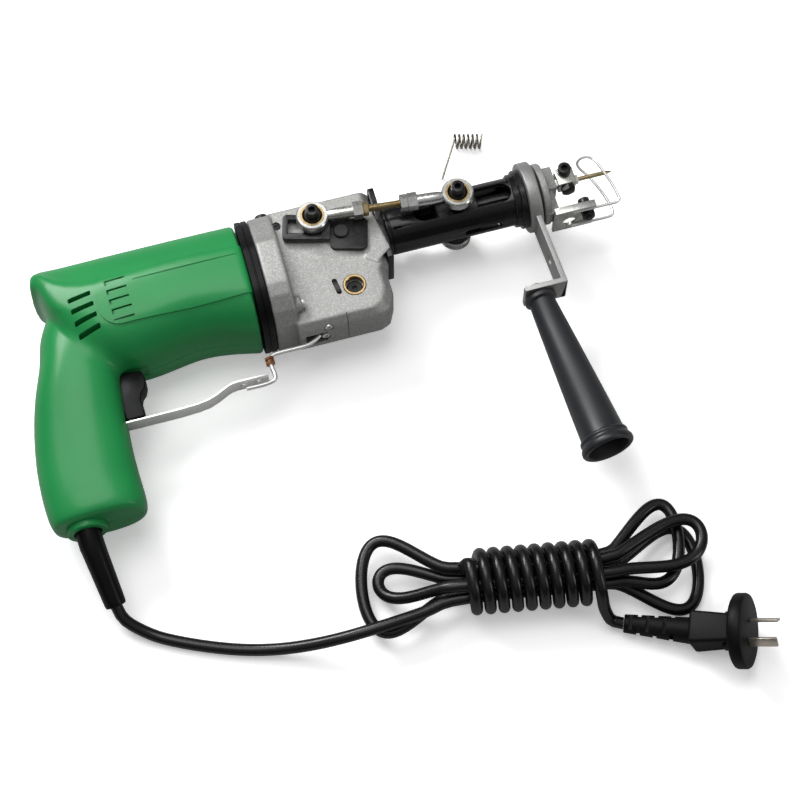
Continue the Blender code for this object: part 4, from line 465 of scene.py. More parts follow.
finish_of("sheet_stack", (0.14, 0.14, 0.15), 0.5, 0.8, scale=800.0, shade=0.2, bump=0.3)
finish_of("handle_grey", (0.020, 0.021, 0.024), 0.42, scale=900.0, shade=0.12, bump=0.25,
          worn=(0.06, 0.06, 0.065), amount=0.3, shine=0.4)
finish_of("satin_steel", (0.006, 0.006, 0.007), 0.24, 0.2, scale=500.0, shade=0.25, shift=0.08, bump=0.15,
          worn=(0.10, 0.10, 0.105), amount=0.35, shine=0.45)
finish_of("grey_steel", (0.31, 0.31, 0.305), 0.42, 0.6, scale=700.0, shade=0.15, bump=0.3,
          worn=(0.55, 0.55, 0.54))
finish_of("rubber_black", (0.003, 0.003, 0.0035), 0.5, scale=1100.0, shade=0.3, bump=0.3, amount=0.2,
          worn=(0.012, 0.012, 0.013), shine=0.15)
finish_of("pin_metal", (0.62, 0.56, 0.48), 0.35, 0.9, scale=420.0, shade=0.12, bump=0.10,
          worn=(0.75, 0.70, 0.62))
finish_of("spring_wire", (0.27, 0.25, 0.21), 0.28, 1.0, scale=420.0, shade=0.15, bump=0.1,
          worn=(0.6, 0.6, 0.6))
print("finishes:", ", ".join(sorted(FINISHES)))

# %% [markdown]
# Some solids of the model already have the right shape, such as gears inside the housing. They
# stay, and only get their finish. A table from the record's own material names to the finishes
# above does them all, and a piece that is modelled anew later takes its place with the same names.

# %% Dress the model's own solids
FROM_RECORD = {"green_plastic": "gloss_green", "black_plastic": "satin_black", "black_steel": "oxide_black",
               "cast_aluminium": "cast_alloy", "zinc_steel": "zinc_plate", "yellow_zinc": "yellow_plate",
               "bright_steel": "bright_steel", "brass": "brass_plate", "copper": "copper_part",
               "lamination": "sheet_stack", "grey_handle": "handle_grey"}
slot_of = {entry["node"]: entry["material_slot"] for entry in frame["record"]["subparts"]}
body_of = {name: body for body, names in frame["record"]["behaviour"]["bodies"].items() for name in names}
for name, node in nodes.items():
    node.data.materials.clear()
    node.data.materials.append(FINISHES[FROM_RECORD[slot_of[name]]])
print("dressed", len(nodes), "solids")


# %% [markdown]
# Every new piece says which solids it stands for and on which moving body it rides. `dress` does that for a
# mesh, and `dress_wire` for a cable or wire, which stays a curve with a round section.

# %% Hand a finished piece over
def dress(obj, finish, *replaced, body=None, slot=None, angle=35.0):
    """Give a finished piece its material and its body, and hide the solids it stands for."""
    settle(obj, angle)
    obj.data.materials.clear()
    obj.data.materials.append(FINISHES[finish])
    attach(obj, body or body_of[replaced[0]])
    if replaced:
        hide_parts(*replaced)
    print("made", obj.name, len(obj.data.polygons), "faces")
    return obj


def dress_wire(obj, finish, *replaced):
    """Give a drawn wire its material and its body, and hide the solids it stands for."""
    obj.data.materials.append(FINISHES[finish])
    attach(obj, body_of[replaced[0]])
    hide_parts(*replaced)
    print("drew", obj.name, "through", len(obj.data.splines[0].points), "points")


print("slots:", ", ".join(sorted(set(slot_of.values()))))

# %% [markdown]
# The mains lead is one length of round rubber cable: free from the sleeve to the table, then laid
# to and fro six times, then wound nine times round that bundle, and out of the last turn into the
# plug. A long cable is easiest as a curve with a round section. The route is worked out from the
# winding itself, because laid strands sit in a ring of six round the middle of the bundle.

# %% The winding of the hank
CABLE = 3.7  # half of the cable's thickness
WRAPS, STEPS, PITCH = 9, 24, 2 * CABLE + 0.9
RING = 2 * CABLE + 1.2
WOUND = RING + 2 * CABLE + 0.8
MIDDLE = WOUND + CABLE
HALF = WRAPS * PITCH / 2 + 10.0
SLOTS = {name: (RING * math.cos(math.radians(angle)), MIDDLE + RING * math.sin(math.radians(angle)))
         for name, angle in (("west", 180), ("east", 0), ("low_a", 240), ("low_b", 300),
                             ("high_a", 120), ("high_b", 60))}
# each end loop: slot left, slot entered, side, reach, half width, layers up, sideways shift
LOOPS = (("west", "east", 1, 45.7, -22.1, 1.433, 20.8), ("east", "low_a", -1, 55.1, 29.0, 0.607, 3.8),
         ("low_a", "low_b", 1, 56.8, -27.4, 0.0, 3.3), ("low_b", "high_a", -1, 44.8, 8.3, 0.543, 8.0),
         ("high_a", "high_b", 1, 58.7, -12.7, 2.428, 16.8))


def wound_route():
    """Points of the hank in its own millimetres: along the bundle, across it, and up."""
    across, rise = SLOTS["west"]
    points = [(-HALF - 3 * CABLE, across * 1.55, rise)]
    for leave, enter, side, reach, width, layer, shift in LOOPS:
        (v0, z0), (v1, z1) = SLOTS[leave], SLOTS[enter]
        low = CABLE + 0.3 + layer * PITCH
        points += [(-side * HALF, v0, z0), (side * HALF, v0, z0)]
        for i in range(1, STEPS):
            s = i / STEPS
            wave = math.sin(math.pi * s)
            v = ((v0 + v1) + (v0 - v1) * math.cos(math.pi * s)) / 2
            v += width * math.sin(math.tau * s) * wave ** 0.45 + shift * wave ** 0.8
            level = z0 + (z1 - z0) * s * s * (3 - 2 * s)
            points.append((side * (HALF + reach * wave), v, level + (low - level) * wave ** 0.9))
    points += [(HALF, *SLOTS["high_b"]), (-HALF, *SLOTS["high_b"])]
    for i in range(WRAPS * STEPS + 5):
        angle = math.radians(60.0) + math.tau * i / STEPS
        points.append((PITCH * (i / STEPS - WRAPS / 2), WOUND * math.cos(angle),
                       MIDDLE + WOUND * math.sin(angle)))
    return points


def on_the_table(u, v, rise):
    """From the hank's own millimetres to metres on the table."""
    slant = math.radians(-10.5)
    x = 54.0 + u * math.cos(slant) - v * math.sin(slant)
    y = -244.0 + u * math.sin(slant) + v * math.cos(slant)
    return at(x, y, rise - TABLE)


bundle = [on_the_table(*point) for point in wound_route()]
print("hank points:", len(bundle))

# %% [markdown]
# The free lead leaves the sleeve, drops to the table, sweeps round in front of the machine and
# climbs onto the left end of the bundle. The tail drops from the last turn and bends into the
# plug. A smooth line through a few points is how such a lead would be pulled into place by hand.

# %% The whole lead as one curve
def smooth_line(points, step):
    """Points a step apart, in metres, on a smooth line through the given points."""
    ends = [points[0] * 2 - points[1], *points, points[-1] * 2 - points[-2]]
    line = []
    for a, b, c, d in zip(ends, ends[1:], ends[2:], ends[3:]):
        count = max(1, round((c - b).length / step))
        for i in range(count):
            t = i / count
            line.append(0.5 * (2 * b + (c - a) * t + (2 * a - 5 * b + 4 * c - d) * t * t
                               + (3 * b - a - 3 * c + d) * t ** 3))
    return line + [points[-1]]


def wire_curve(points, radius, name, sides=3):
    """A round cable or wire along points given in metres."""
    bpy.ops.curve.primitive_nurbs_path_add(location=(0, 0, 0))
    obj = named(name)
    spline = obj.data.splines[0]
    spline.points.add(len(points) - len(spline.points))
    spline.points.foreach_set("co", [c for point in points for c in (*point, 1.0)])
    spline.order_u = 4
    spline.use_endpoint_u = True
    obj.data.resolution_u = 3
    obj.data.bevel_depth = radius * 0.001
    obj.data.bevel_resolution = sides
    obj.data.use_fill_caps = True
    return obj


SLEEVE_BEND, SLEEVE_END = at(-196.5, -156.0, -1.0), at(-191.2, -193.0, -21.5)
leaving = (SLEEVE_END - SLEEVE_BEND).normalized()
lead_start = SLEEVE_END + leaving * 0.0003
free = [lead_start + leaving * 0.0074]
for x, y, lift in ((-186.0, -204.5, 4.5), (-175.0, -213.0, 0.4), (-156.0, -223.5, 0.0),
                   (-129.0, -235.0, 0.0), (-104.0, -242.5, 2.0), (-80.0, -247.5, 8.5),
                   (-57.0, -250.0, 15.0), (-33.0, -249.5, 16.8)):
    free.append(at(x, y, CABLE + 0.3 - TABLE + lift))
into = (bundle[1] - bundle[0]).normalized()
free.append(bundle[0] - into * 0.0074)
PLUG_START, PLUG_BACK, PLUG_FACE = (at(101.5, -283.0, -30.1), at(139.5, -300.0, -25.7),
                                    at(168.2, -312.4, -12.0))
plug_run = (PLUG_BACK - PLUG_START).normalized()
drop = [bundle[-1]]
last = wound_route()[-1]
for a, b, c in ((1.0, -6.5, -4.5), (2.2, -11.0, -11.5), (3.6, -14.5, -19.0)):
    drop.append(on_the_table(last[0] + a, last[1] + b, last[2] + c))
drop.append(PLUG_START - plug_run * 0.0074)
route = [lead_start, *smooth_line(free, 0.012), *bundle, *smooth_line(drop, 0.005)[1:],
         PLUG_START - plug_run * 0.0003]
lead = wire_curve(route, CABLE, "mains_lead", sides=5)
dress_wire(lead, "cord_black", "cord_lead", "cord_hank")

# %% [markdown]
# The pistol body is two green mouldings that close round the motor, with the grip below. On the
# real machine the case runs into the grip in one swollen curve. Here the case and the grip are
# each drawn out through a row of sections, welded, melted into one skin by a remesh, and the
# crease between them is rubbed smooth. Then the skin is parted along the moulding seam.

# %% Draw a piece out through sections
def skin(rings, name):
    """Pull a ring of points out through a row of sections and close both ends."""
    count = len(rings[0])
    bpy.ops.mesh.primitive_circle_add(vertices=count, radius=0.01, location=(0, 0, 0))
    obj = named(name)
    only(obj)
    bpy.ops.object.mode_set(mode="EDIT")
    bpy.ops.mesh.select_mode(type="VERT")
    bpy.ops.mesh.select_all(action="SELECT")
    for number, ring in enumerate(rings):
        if number:
            bpy.ops.mesh.extrude_edges_move()
        mesh = bmesh.from_edit_mesh(obj.data)
        mesh.verts.index_update()
        fresh = sorted((v for v in mesh.verts if v.select), key=lambda v: v.index)
        for vert, point in zip(fresh, ring):
            vert.co = point
        bmesh.update_edit_mesh(obj.data)
    bpy.ops.mesh.edge_face_add()
    mesh = bmesh.from_edit_mesh(obj.data)
    bpy.ops.mesh.select_all(action="DESELECT")
    mesh.verts.ensure_lookup_table()
    for i in range(count):
        mesh.verts[i].select_set(True)
    mesh.select_flush_mode()
    bpy.ops.mesh.edge_face_add()
    bpy.ops.mesh.select_all(action="SELECT")
    bpy.ops.mesh.normals_make_consistent(inside=False)
    bpy.ops.object.mode_set(mode="OBJECT")
    return obj


CASE_Y, CASE_HALF, CASE_DEPTH, RIM_DEPTH = -17.5, 40.0, 36.5, 37.4
# near half of the case's outline, from top to foot: height and depth as shares
OUTLINE = ((1.0, 0.18), (0.995, 0.46), (0.800, 0.68), (0.430, 0.87), (0.290, 0.97), (0.120, 1.0),
           (-0.300, 1.0), (-0.470, 0.975), (-0.650, 0.885), (-0.860, 0.68), (-0.975, 0.41),
           (-0.998, 0.12))


def case_ring(x, centre=0.0, height=1.0, depth=1.0, half_depth=CASE_DEPTH, lean=0.0):
    """Section of the motor case across the machine's X; a lean brings its top forward."""
    middle = CASE_HALF * centre + CASE_Y
    near = [(middle + CASE_HALF * height * v, half_depth * depth * w) for v, w in OUTLINE]
    return [at(x + lean * (y - 10), y, z) for y, z in near + [(y, -z) for y, z in reversed(near)]]


print("case outline:", 2 * len(OUTLINE), "points")

# %% [markdown]
# The case is a box with a swollen belly: its sections differ only in their middle, height and
# depth, and towards the rear they shrink up to the motor's end. The grip's sections are rounded
# squares that swell under the case and thin out below. A subdivision rounds both between sections.

# %% Case and grip
# each row: X, then the section's middle, height and depth as shares
case_rows = ((-64.5, 0.0, 1.0, 1.0), (-65.5, 0.003, 0.997, 1.0), (-81.8, 0.055, 0.945, 1.0),
             (-101.7, 0.095, 0.905, 1.0), (-120.4, 0.05, 0.95, 1.0), (-144.3, 0.0, 1.0, 1.0),
             (-165.6, 0.05, 0.95, 0.96), (-178.0, 0.22, 0.78, 0.90), (-186.0, 0.50, 0.50, 0.84),
             (-191.5, 0.72, 0.28, 0.76), (-195.4, 0.76, 0.23, 0.70), (-197.0, 0.76, 0.22, 0.65),
             (-197.5, 0.76, 0.19, 0.56))
leans = [max(0.0, min(0.24, (-176.0 - row[0]) / 60.0)) for row in case_rows]
case = skin([case_ring(*row, lean=lean) for row, lean in zip(case_rows, leans)], "motor_case")
use(case, "SUBSURF", levels=2, render_levels=2)
# each row: Y, then the section's shift, width and depth as shares
grip_rows = ((-3.0, 0.46, 0.54, 0.85), (-14.0, 0.42, 0.68, 1.02), (-25.0, 0.38, 0.82, 1.16),
             (-40.0, 0.32, 0.81, 1.22), (-58.4, 0.15, 0.89, 1.16), (-82.3, 0.03, 0.95, 1.04),
             (-108.8, -0.045, 0.985, 1.0), (-132.6, -0.016, 1.0, 1.0),
             (-142.6, 0.012, 0.985, 0.97), (-147.0, 0.016, 0.93, 0.88), (-148.5, 0.02, 0.86, 0.76))
GRIP_X, GRIP_HALF, GRIP_DEPTH, CORNERS = -188.0, 30.5, 21.5, 28
grip_rings = []
for y, shift, width, depth in grip_rows:
    ring = []
    for i in range(CORNERS):
        c, s = math.cos(math.tau * (i + 0.5) / CORNERS), math.sin(math.tau * (i + 0.5) / CORNERS)
        x = GRIP_HALF * (shift + width * math.copysign(abs(c) ** 0.8, c)) + GRIP_X
        ring.append(at(x, y, GRIP_DEPTH * depth * math.copysign(abs(s) ** 0.8, s)))
    grip_rings.append(ring)
grip = skin(grip_rings, "grip")
use(grip, "SUBSURF", levels=2, render_levels=2)
body = carve(case, grip, "UNION")
use(body, "REMESH", mode="VOXEL", voxel_size=0.0013)
print("body skin:", len(body.data.polygons), "faces")

# %% [markdown]
# The crease is found from the two forms themselves: a point close to both skins lies in it. Only
# those points are smoothed, many times over, so the rest of the case keeps its size.

# %% Rub the crease smooth
def row_at(rows, place):
    """Section shares at a place between two rows."""
    for a, b in zip(rows, rows[1:]):
        if (a[0] - place) * (b[0] - place) <= 0:
            t = (place - a[0]) / (b[0] - a[0])
            return [p + (q - p) * t for p, q in zip(a, b)]
    return rows[0] if abs(place - rows[0][0]) < abs(place - rows[-1][0]) else rows[-1]


def in_crease(point, _):
    """Close to the case's skin and to the grip's, both taken as rounded squares."""
    x, y, z = (c * 1000 for c in point - HOME)
    _, centre, height, depth = row_at(case_rows, x)
    v, w = (y - CASE_Y - CASE_HALF * centre) / (CASE_HALF * height), z / (37.0 * depth)
    off_case = 37 * ((abs(v) ** 2.3 + abs(w) ** 2.3) ** (1 / 2.3) - 1)
    _, shift, width, deep = row_at(grip_rows, y)
    v, w = (x - GRIP_X - GRIP_HALF * shift) / (GRIP_HALF * width), z / (GRIP_DEPTH * deep)
    off_grip = 25 * ((abs(v) ** 2.5 + abs(w) ** 2.5) ** 0.4 - 1)
    return abs(off_case) < 11 and abs(off_grip) < 10 and y < 0 and x > -190.5


marked = pick(body, in_crease, "VERT")
bpy.ops.mesh.vertices_smooth(factor=0.5, repeat=60)
bpy.ops.mesh.select_all(action="SELECT")
bpy.ops.mesh.vertices_smooth(factor=0.5, repeat=3)
only(body)
print("crease points:", marked)

# %% [markdown]
# The mouldings carry a raised side pad with a round end, a groove along its top, five blind
# louvres and, behind it, four open cooling slots. A pad that follows the skin is the skin itself,
# swollen a little and cut to the pad's outline. Slots and louvres are cut with shaped bars.

# %% Flat stock and cutting tools
def plate(outline, low, high, name, axis="Z"):
    """Cut an outline from sheet: its points and thickness are in the machine's millimetres."""
    def place(u, v, w):
        return at(*{"Z": (u, v, w), "Y": (u, w, v), "X": (w, u, v)}[axis])

    bpy.ops.mesh.primitive_circle_add(vertices=len(outline), radius=0.01, fill_type="NGON",
                                      location=(0, 0, 0))
    obj = named(name)
    only(obj)
    bpy.ops.object.mode_set(mode="EDIT")
    mesh = bmesh.from_edit_mesh(obj.data)
    for vert, (u, v) in zip(sorted(mesh.verts, key=lambda p: p.index), outline):
        vert.co = place(u, v, low)
    bmesh.update_edit_mesh(obj.data)
    bpy.ops.mesh.select_all(action="SELECT")
    bpy.ops.mesh.extrude_region_move(
        TRANSFORM_OT_translate={"value": place(0, 0, high) - place(0, 0, low)})
    bpy.ops.mesh.select_all(action="SELECT")
    bpy.ops.mesh.normals_make_consistent(inside=False)
    bpy.ops.object.mode_set(mode="OBJECT")
    return obj


def arc(u, v, radius, start, end, steps=8):
    """Points of an arc in an outline, angles in degrees."""
    angles = [math.radians(start + (end - start) * i / steps) for i in range(steps + 1)]
    return [(u + radius * math.cos(a), v + radius * math.sin(a)) for a in angles]


def slot_shape(u0, v0, u1, v1, half):
    """Outline with two round ends, from one centre to the other."""
    slant = math.degrees(math.atan2(v1 - v0, u1 - u0))
    return arc(u1, v1, half, slant - 90, slant + 90) + arc(u0, v0, half, slant + 90, slant + 270)


def copy_of(obj, name):
    """A copy of the piece with its own mesh."""
    only(obj)
    bpy.ops.object.duplicate()
    return named(name)


def join_up(*objs):
    """Join pieces into one object without cutting them."""
    only(objs[0])
    for obj in objs[1:]:
        obj.select_set(True)
    bpy.ops.object.join()
    return objs[0]


print("a slot outline has", len(slot_shape(0, 0, 1, 0, 1)), "points")

# %% [markdown]
# The pad is a copy of the whole skin, pushed out by less than a millimetre along its normals and
# cut to the pad's outline, so it follows the case exactly. The skin is then parted along the seam,
# with a hair's gap, and the boss for the lead's sleeve is welded under the grip.

# %% Side pad, seam and boss
SEAM = 0.3
pad = copy_of(body, "side_pad")
use(pad, "DISPLACE", strength=0.0009, mid_level=0.0)
outline = [(-60.0, -37.6), (-60.0, -3.4)] + arc(-147.0, -14.0, 10.6, 90, 180, 10)
outline += arc(-146.0, -25.0, 12.6, 180, 270, 10)
pad = carve(pad, plate(outline, 20.0, 37.5, "pad_outline"), "INTERSECT")
around = [(-260, -260), (-60, -260), (-60, 60), (-260, 60)]
near_side = plate(around, SEAM / 2, 60.0, "near_side")
far_side = plate(around, -60.0, -SEAM / 2, "far_side")
boss = turned([(0, 0), (0, 12.5), (6.8, 12.5), (7.5, 11.8), (7.5, 8.7), (0.5, 8.7), (0.5, 0)],
              at(-196.5, -144.5), (0, -1, 0), "cord_boss")
carve(body, boss, "UNION")
far_shell = carve(copy_of(body, "far_shell"), far_side, "INTERSECT")
near_shell = carve(body, near_side, "INTERSECT")
near_shell.name = "near_shell"
carve(near_shell, pad, "UNION")
print("shells:", len(near_shell.data.polygons), len(far_shell.data.polygons), "faces")

# %% [markdown]
# The cooling slots go right through the wall and are cut with bevelled bars, each lower than
# the last. Groove and louvres are blind, so their cutters end inside the wall. Cutters that don't
# touch each other are joined first and cut together, which is one boolean instead of many.

# %% Slots, louvres and the trigger's opening
tools = []
for i in range(4):
    x, y = -168.6 + i * 0.5, -12.6 - i * 7.6
    tools.append(plate([(x - 7.2, y - 2.5), (x + 7.4, y - 0.7), (x + 7.4, y + 2.5), (x - 7.2, y + 0.7)],
                       20.0, 40.0, f"vent_{i}"))
    bevel_edges(tools[-1], 0.0007, 2)
carve(near_shell, join_up(*tools))
tools = [plate(slot_shape(-134.0, -10.6, -60.0, -10.2, 0.5), 36.6, 40.0, "pad_groove"),
         plate(slot_shape(-134.0, -30.2, -60.0, -31.2, 0.25), 37.1, 40.0, "lower_groove")]
for i in range(5):
    x, y = -145.4 + i * 0.25, -7.6 - i * 6.8
    tools.append(plate([(x - 6.4, y - 3.0), (x - 4.9, y - 3.0), (x - 4.9, y - 0.8), (x + 6.4, y - 0.2),
                        (x + 6.4, y + 1.1), (x - 6.4, y + 0.5)], 35.2, 40.0, f"louvre_{i}"))
carve(near_shell, join_up(*tools))
for shell in (near_shell, far_shell):
    opening = plate([(-167.8, -90.5), (-138.5, -90.5), (-138.5, -55.2), (-167.8, -55.2)], -6.8, 6.8,
                    "trigger_opening")
    carve(shell, opening)
dress(near_shell, "gloss_green", "housing_near_shell", angle=30)
dress(far_shell, "gloss_green", "housing_far_shell", angle=30)

# %% [markdown]
# A black ring closes the front of the mouldings. It has the same outline, two rims and a shallow
# waist between them, and is drawn out through sections like the case.

# %% End collar
rows = ((-64.2, 0.98), (-63.9, 1.0), (-60.7, 1.0), (-60.4, 0.988), (-59.9, 0.988), (-59.6, 0.998),
        (-56.7, 0.998), (-56.2, 0.985))
collar = skin([case_ring(x, 0.0, size, size, RIM_DEPTH) for x, size in rows], "collar_ring")
dress(collar, "satin_black", "end_collar", angle=25)

# %% [markdown]
# The gearbox is a sand-blasted casting: a ring that bolts to the motor and a flat box with broken
# edges. The two forms are welded and melted together by a remesh, which leaves the soft inside
# corners of a casting. Machined features are cut afterwards, so they stay sharp.

# %% Cast gearbox
ring = skin([case_ring(x, 0.0, size, size, RIM_DEPTH)
             for x, size in ((-55.9, 0.985), (-55.3, 1.0), (-42.2, 1.0), (-41.0, 0.975))], "cast_ring")


def box_side(inset):
    """Side outline of the gearbox, its front and foot drawn in."""
    front, sole, chin = 24.0 - inset, -62.4 + inset, 21.5 - inset
    return [(-43.0, sole), (chin - 10.8, sole), (chin - 4.5, sole + 2.7), (chin, sole + 11.7),
            (chin, -32.5), (front, -30.0), (front, 24.5), (-43.0, 24.5)]


levels = ((-16.0, 4.5), (-11.0, 0.0), (11.0, 0.0), (16.0, 4.5))
box = skin([[at(x, y, z) for x, y in box_side(inset)] for z, inset in levels], "gearbox")
for side in (1, -1):
    carve(box, turned([(0, 0), (0, 14.5), (2, 14.5), (3.0, 12.5), (3.0, 0)], at(0, -3.0, side * 13.8),
                      (0, 0, side), "shaft_seat"), "UNION")
carve(box, ring, "UNION")
LUG_Y, LUG_Z, LUG_END = -46.0, 20.5, -36.5
for z in (LUG_Z, -LUG_Z):
    carve(box, bar_at(at(-54.5, LUG_Y, z), at(LUG_END, LUG_Y, z), 0.0052, "bolt_lug", 32), "UNION")
cheek = plate([(9.0, 6.0), (23.2, 8.6), (27.8, -20.6), (17.2, -28.6), (11.0, -24.0)], 15.8, 16.9,
              "cast_cheek")
carve(box, cheek, "UNION")
use(box, "REMESH", mode="VOXEL", voxel_size=0.0008)
whole_mesh(box)
bpy.ops.mesh.vertices_smooth(factor=0.5, repeat=5)
only(box)
print("casting skin:", len(box.data.polygons), "faces")

# %% [markdown]
# The bush's bore, the oil slot, the joint of the bottom cover, the recess of the guard's wire and
# the screws' wells are milled and drilled into the finished casting, as in the workshop.

# %% Machined features of the gearbox
IDLER, OIL_SLOT = (-1, -40), (-12.6, -34.2, -11.5, -42.4)
tools = [bar_at(at(*IDLER, 8), at(*IDLER, 20), 0.0075, "bush_bore"),
         plate(slot_shape(*OIL_SLOT, 1.7), 13.2, 20.0, "oil_slot"),
         plate([(-11.2, -66.0), (-10.8, -66.0), (-10.8, -57.0), (-11.2, -57.0)], -14.0, 17.0, "joint_line"),
         plate([(-38.5, -66.0), (-26.0, -66.0), (-24.0, -61.0), (-30.0, -56.0), (-38.5, -56.0)], -6.5, 5.5,
               "wire_recess"),
         bar_at(at(-38.3, 13.6, 14.2), at(-38.3, 13.6, 20), 0.0030, "screw_well", 32)]
for x, z in ((-23.5, 9.5), (-25.5, -1.0)):
    tools.append(bar_at(at(x, -58.5, z), at(x, -66, z), 0.0032, "cover_well", 32))
for tool in tools:
    carve(box, tool)
dress(box, "cast_alloy", "gearbox_case", "gearbox_bottom_cover", angle=35)

# %% [markdown]
# Socket screws hold the casting together. One is modelled as a turned head with a rolled rim and a
# six-sided socket pressed into it; the others are made by the same hand at their own places.

# %% Socket screws
def socket_screw(seat, direction, head, height, name, shank=0.0, length=0.0):
    """Head on its seat, sizes in millimetres, with the shank going on behind the seat."""
    rim = 0.12 * head
    profile = [(-length, 0), (-length, shank), (0, shank)] if shank else [(0, 0)]
    profile += [(0, head), (height - rim, head), (height - 0.3 * rim, head - 0.3 * rim),
                (height, head - rim), (height, 0)]
    screw = turned(profile, seat, direction, name, 40)
    way = Vector(direction).normalized()
    top = seat + way * height * 0.001
    bpy.ops.mesh.primitive_cylinder_add(vertices=6, radius=head * 0.00056, depth=height * 0.0011,
                                        location=top, rotation=way.to_track_quat("Z", "Y").to_euler())
    return carve(screw, named("key_socket"))


for number, (seat, way, head, height) in enumerate((
        (at(-45.6, 21.9, 9.0), (0, 1, 0), 4.3, 5.0), (at(-38.3, 13.6, 14.4), (0, 0, 1), 2.5, 1.2),
        (at(-23.5, -60.2, 9.5), (0, -1, 0), 2.6, 1.6), (at(-25.5, -60.2, -1.0), (0, -1, 0), 2.6, 1.6),
        (at(LUG_END - 0.1, LUG_Y, LUG_Z), (1, 0, 0), 3.2, 2.0))):
    screw = socket_screw(seat, way, head, height, f"box_screw_{number}")
    dress(screw, "oxide_black" if number in (0, 1) else "bright_steel", body="machine",
          slot="black_steel", angle=30)

# %% [markdown]
# The idler shaft runs in a brass bush with a broken edge, whose ring shows in the bore. A black sheet at the
# bottom of the oil slot is painted shade for the slot's depth, and a small peg stands in its lower end.

# %% Bush of the idler shaft and the peg in the slot
bush = turned([(0, 5.4), (0, 7.2), (3.2, 7.2), (3.5, 6.9), (3.5, 5.9), (3.0, 5.4), (0, 5.4)],
              at(*IDLER, 12.9), (0, 0, 1), "shaft_bush")
dress(bush, "brass_plate", "idler_bush", angle=30)
shaft = turned([(-14.7, 0), (-14.7, 4.6), (-14.2, 5.0), (11.4, 5.0), (12.0, 4.4), (12.0, 1.6), (9.5, 0)],
               at(*IDLER, 0), (0, 0, 1), "idler_spindle")
dress(shaft, "oxide_black", "idler_shaft", angle=30)
# a black sheet in the oil slot, painted shade for its depth
slot_shade_sheet = plate(slot_shape(*OIL_SLOT, 1.6), 13.0, 13.8, "slot_shade_sheet")
dress(slot_shade_sheet, "oxide_black", body="machine", slot="black_steel", angle=30)
peg = turned([(0, 0), (0, 1.35), (1.6, 1.35), (2.1, 0.9), (2.1, 0)], at(-11.7, -41.0, 13.6), (0, 0, 1),
             "slot_peg", 32)
dress(peg, "oxide_black", body="machine", slot="black_steel", angle=30)

# %% [markdown]
# Hexagons and threads come from two helpers. A nut or a spanner flat is a six-sided bar whose
# corners are turned off by a cone, as on a real nut. A thread is one tooth of its profile swept
# round the axis with a rise of one pitch per turn.

# %% Nuts, threads and mirrored pieces
def hex_bar(start, end, corner, name, bore=0.0, chamfer=0.5):
    """Six-sided bar between two points; corner radius, bore and chamfer in millimetres."""
    obj = bar_at(start, end, corner * 0.001, name, 6)
    length = (end - start).length * 1000
    cone = turned([(0, 0), (0, corner - chamfer), (chamfer * 0.6, corner + 0.05),
                   (length - chamfer * 0.6, corner + 0.05), (length, corner - chamfer), (length, 0)],
                  start, end - start, "corner_cone")
    carve(obj, cone, "INTERSECT")
    if bore:
        way = (end - start).normalized() * 0.001
        carve(obj, bar_at(start - way, end + way, bore * 0.001, "bore", 32))
    return obj


def thread(start, end, radius, pitch, name, sides=24):
    """Threaded bar between two points; outer radius and pitch in millimetres."""
    depth = 0.61 * pitch
    tooth = [(radius - depth, 0.0), (radius, 0.38 * pitch), (radius, 0.56 * pitch), (radius - depth, pitch)]
    obj = open_line(tooth, name)
    only(obj)
    turns = int((end - start).length * 1000 / pitch)
    use(obj, "SCREW", axis="Z", angle=math.tau, screw_offset=pitch * 0.001, iterations=turns, steps=sides,
        render_steps=sides, use_merge_vertices=True, merge_threshold=0.000001)
    whole_mesh(obj)
    bpy.ops.mesh.remove_doubles(threshold=0.000002)
    bpy.ops.mesh.fill_holes(sides=0)
    weld()
    return stand_on(obj, start, end - start)


def mirrored(obj, name):
    """The same piece on the machine's far side."""
    twin = copy_of(obj, name)
    bpy.ops.transform.resize(value=(1, 1, -1), center_override=HOME)
    freeze(twin)
    whole_mesh(twin)
    weld(0.0000005)
    return twin


def both_sides(obj, finish, kind, *replaced, **extra):
    """Dress a near piece and its mirrored twin; node names end in near and far."""
    twin = mirrored(obj, f"{kind}_far")
    obj.name = f"{kind}_near"
    dress(obj, finish, *replaced, **extra)
    dress(twin, finish, *[name.replace("_near", "_far") for name in replaced], **extra)


print("mirror plane at z", round(HOME.z, 4))

# %% [markdown]
# A crank on each side of the gearbox carries an open slot and a balance weight. It is cut from
# plate, its edges are broken, and the weight is milled thinner where the rod passes over it.

# %% Cranks and shaft ends
PIN, LEAN, CROSSHEAD_X = (-15.53, 8.105), math.radians(-15.0), 77.4


def from_pin(u, v):
    """A point along and across the crank, counted from the rod's pin."""
    return (PIN[0] + u * math.cos(LEAN) - v * math.sin(LEAN),
            PIN[1] + u * math.sin(LEAN) + v * math.cos(LEAN))


outline = [(-16.2, -13), (11, -13)] + arc(15, -15, 4, 180, 270, 4) + arc(30.8, -15, 4, 270, 360, 4)
outline += [(34.8, 1), (32.8, 3), (11, 3)] + arc(9.5, 3.2, 1.5, 0, 90, 3) + arc(-16.2, 1.7, 3, 90, 180, 4)
outline += arc(-16.2, -10, 3, 180, 270, 4)[:-1]
crank = plate([from_pin(u, v) for u, v in outline], 17.3, 21.7, "crank")
slot = [from_pin(u, v) for u, v in ((-15.8, -8.5), (-5.5, -8.5), (-5.5, 1.2), (-15.8, 1.2))]
carve(crank, plate(slot, 16.0, 23.0, "open_slot"))
step = [from_pin(u, v) for u, v in ((11, -20), (36, -20), (36, 4), (11, 4))]
carve(crank, plate(step, 19.9, 23.0, "milled_step"))
bevel_edges(crank, 0.0004, 2)
both_sides(crank, "oxide_black", "slotted_crank", "crank_near", angle=30)
profile = [(-21.6, 0), (-21.6, 4.3), (-21.0, 4.9), (21.0, 4.9), (21.6, 4.3), (21.6, 0)]
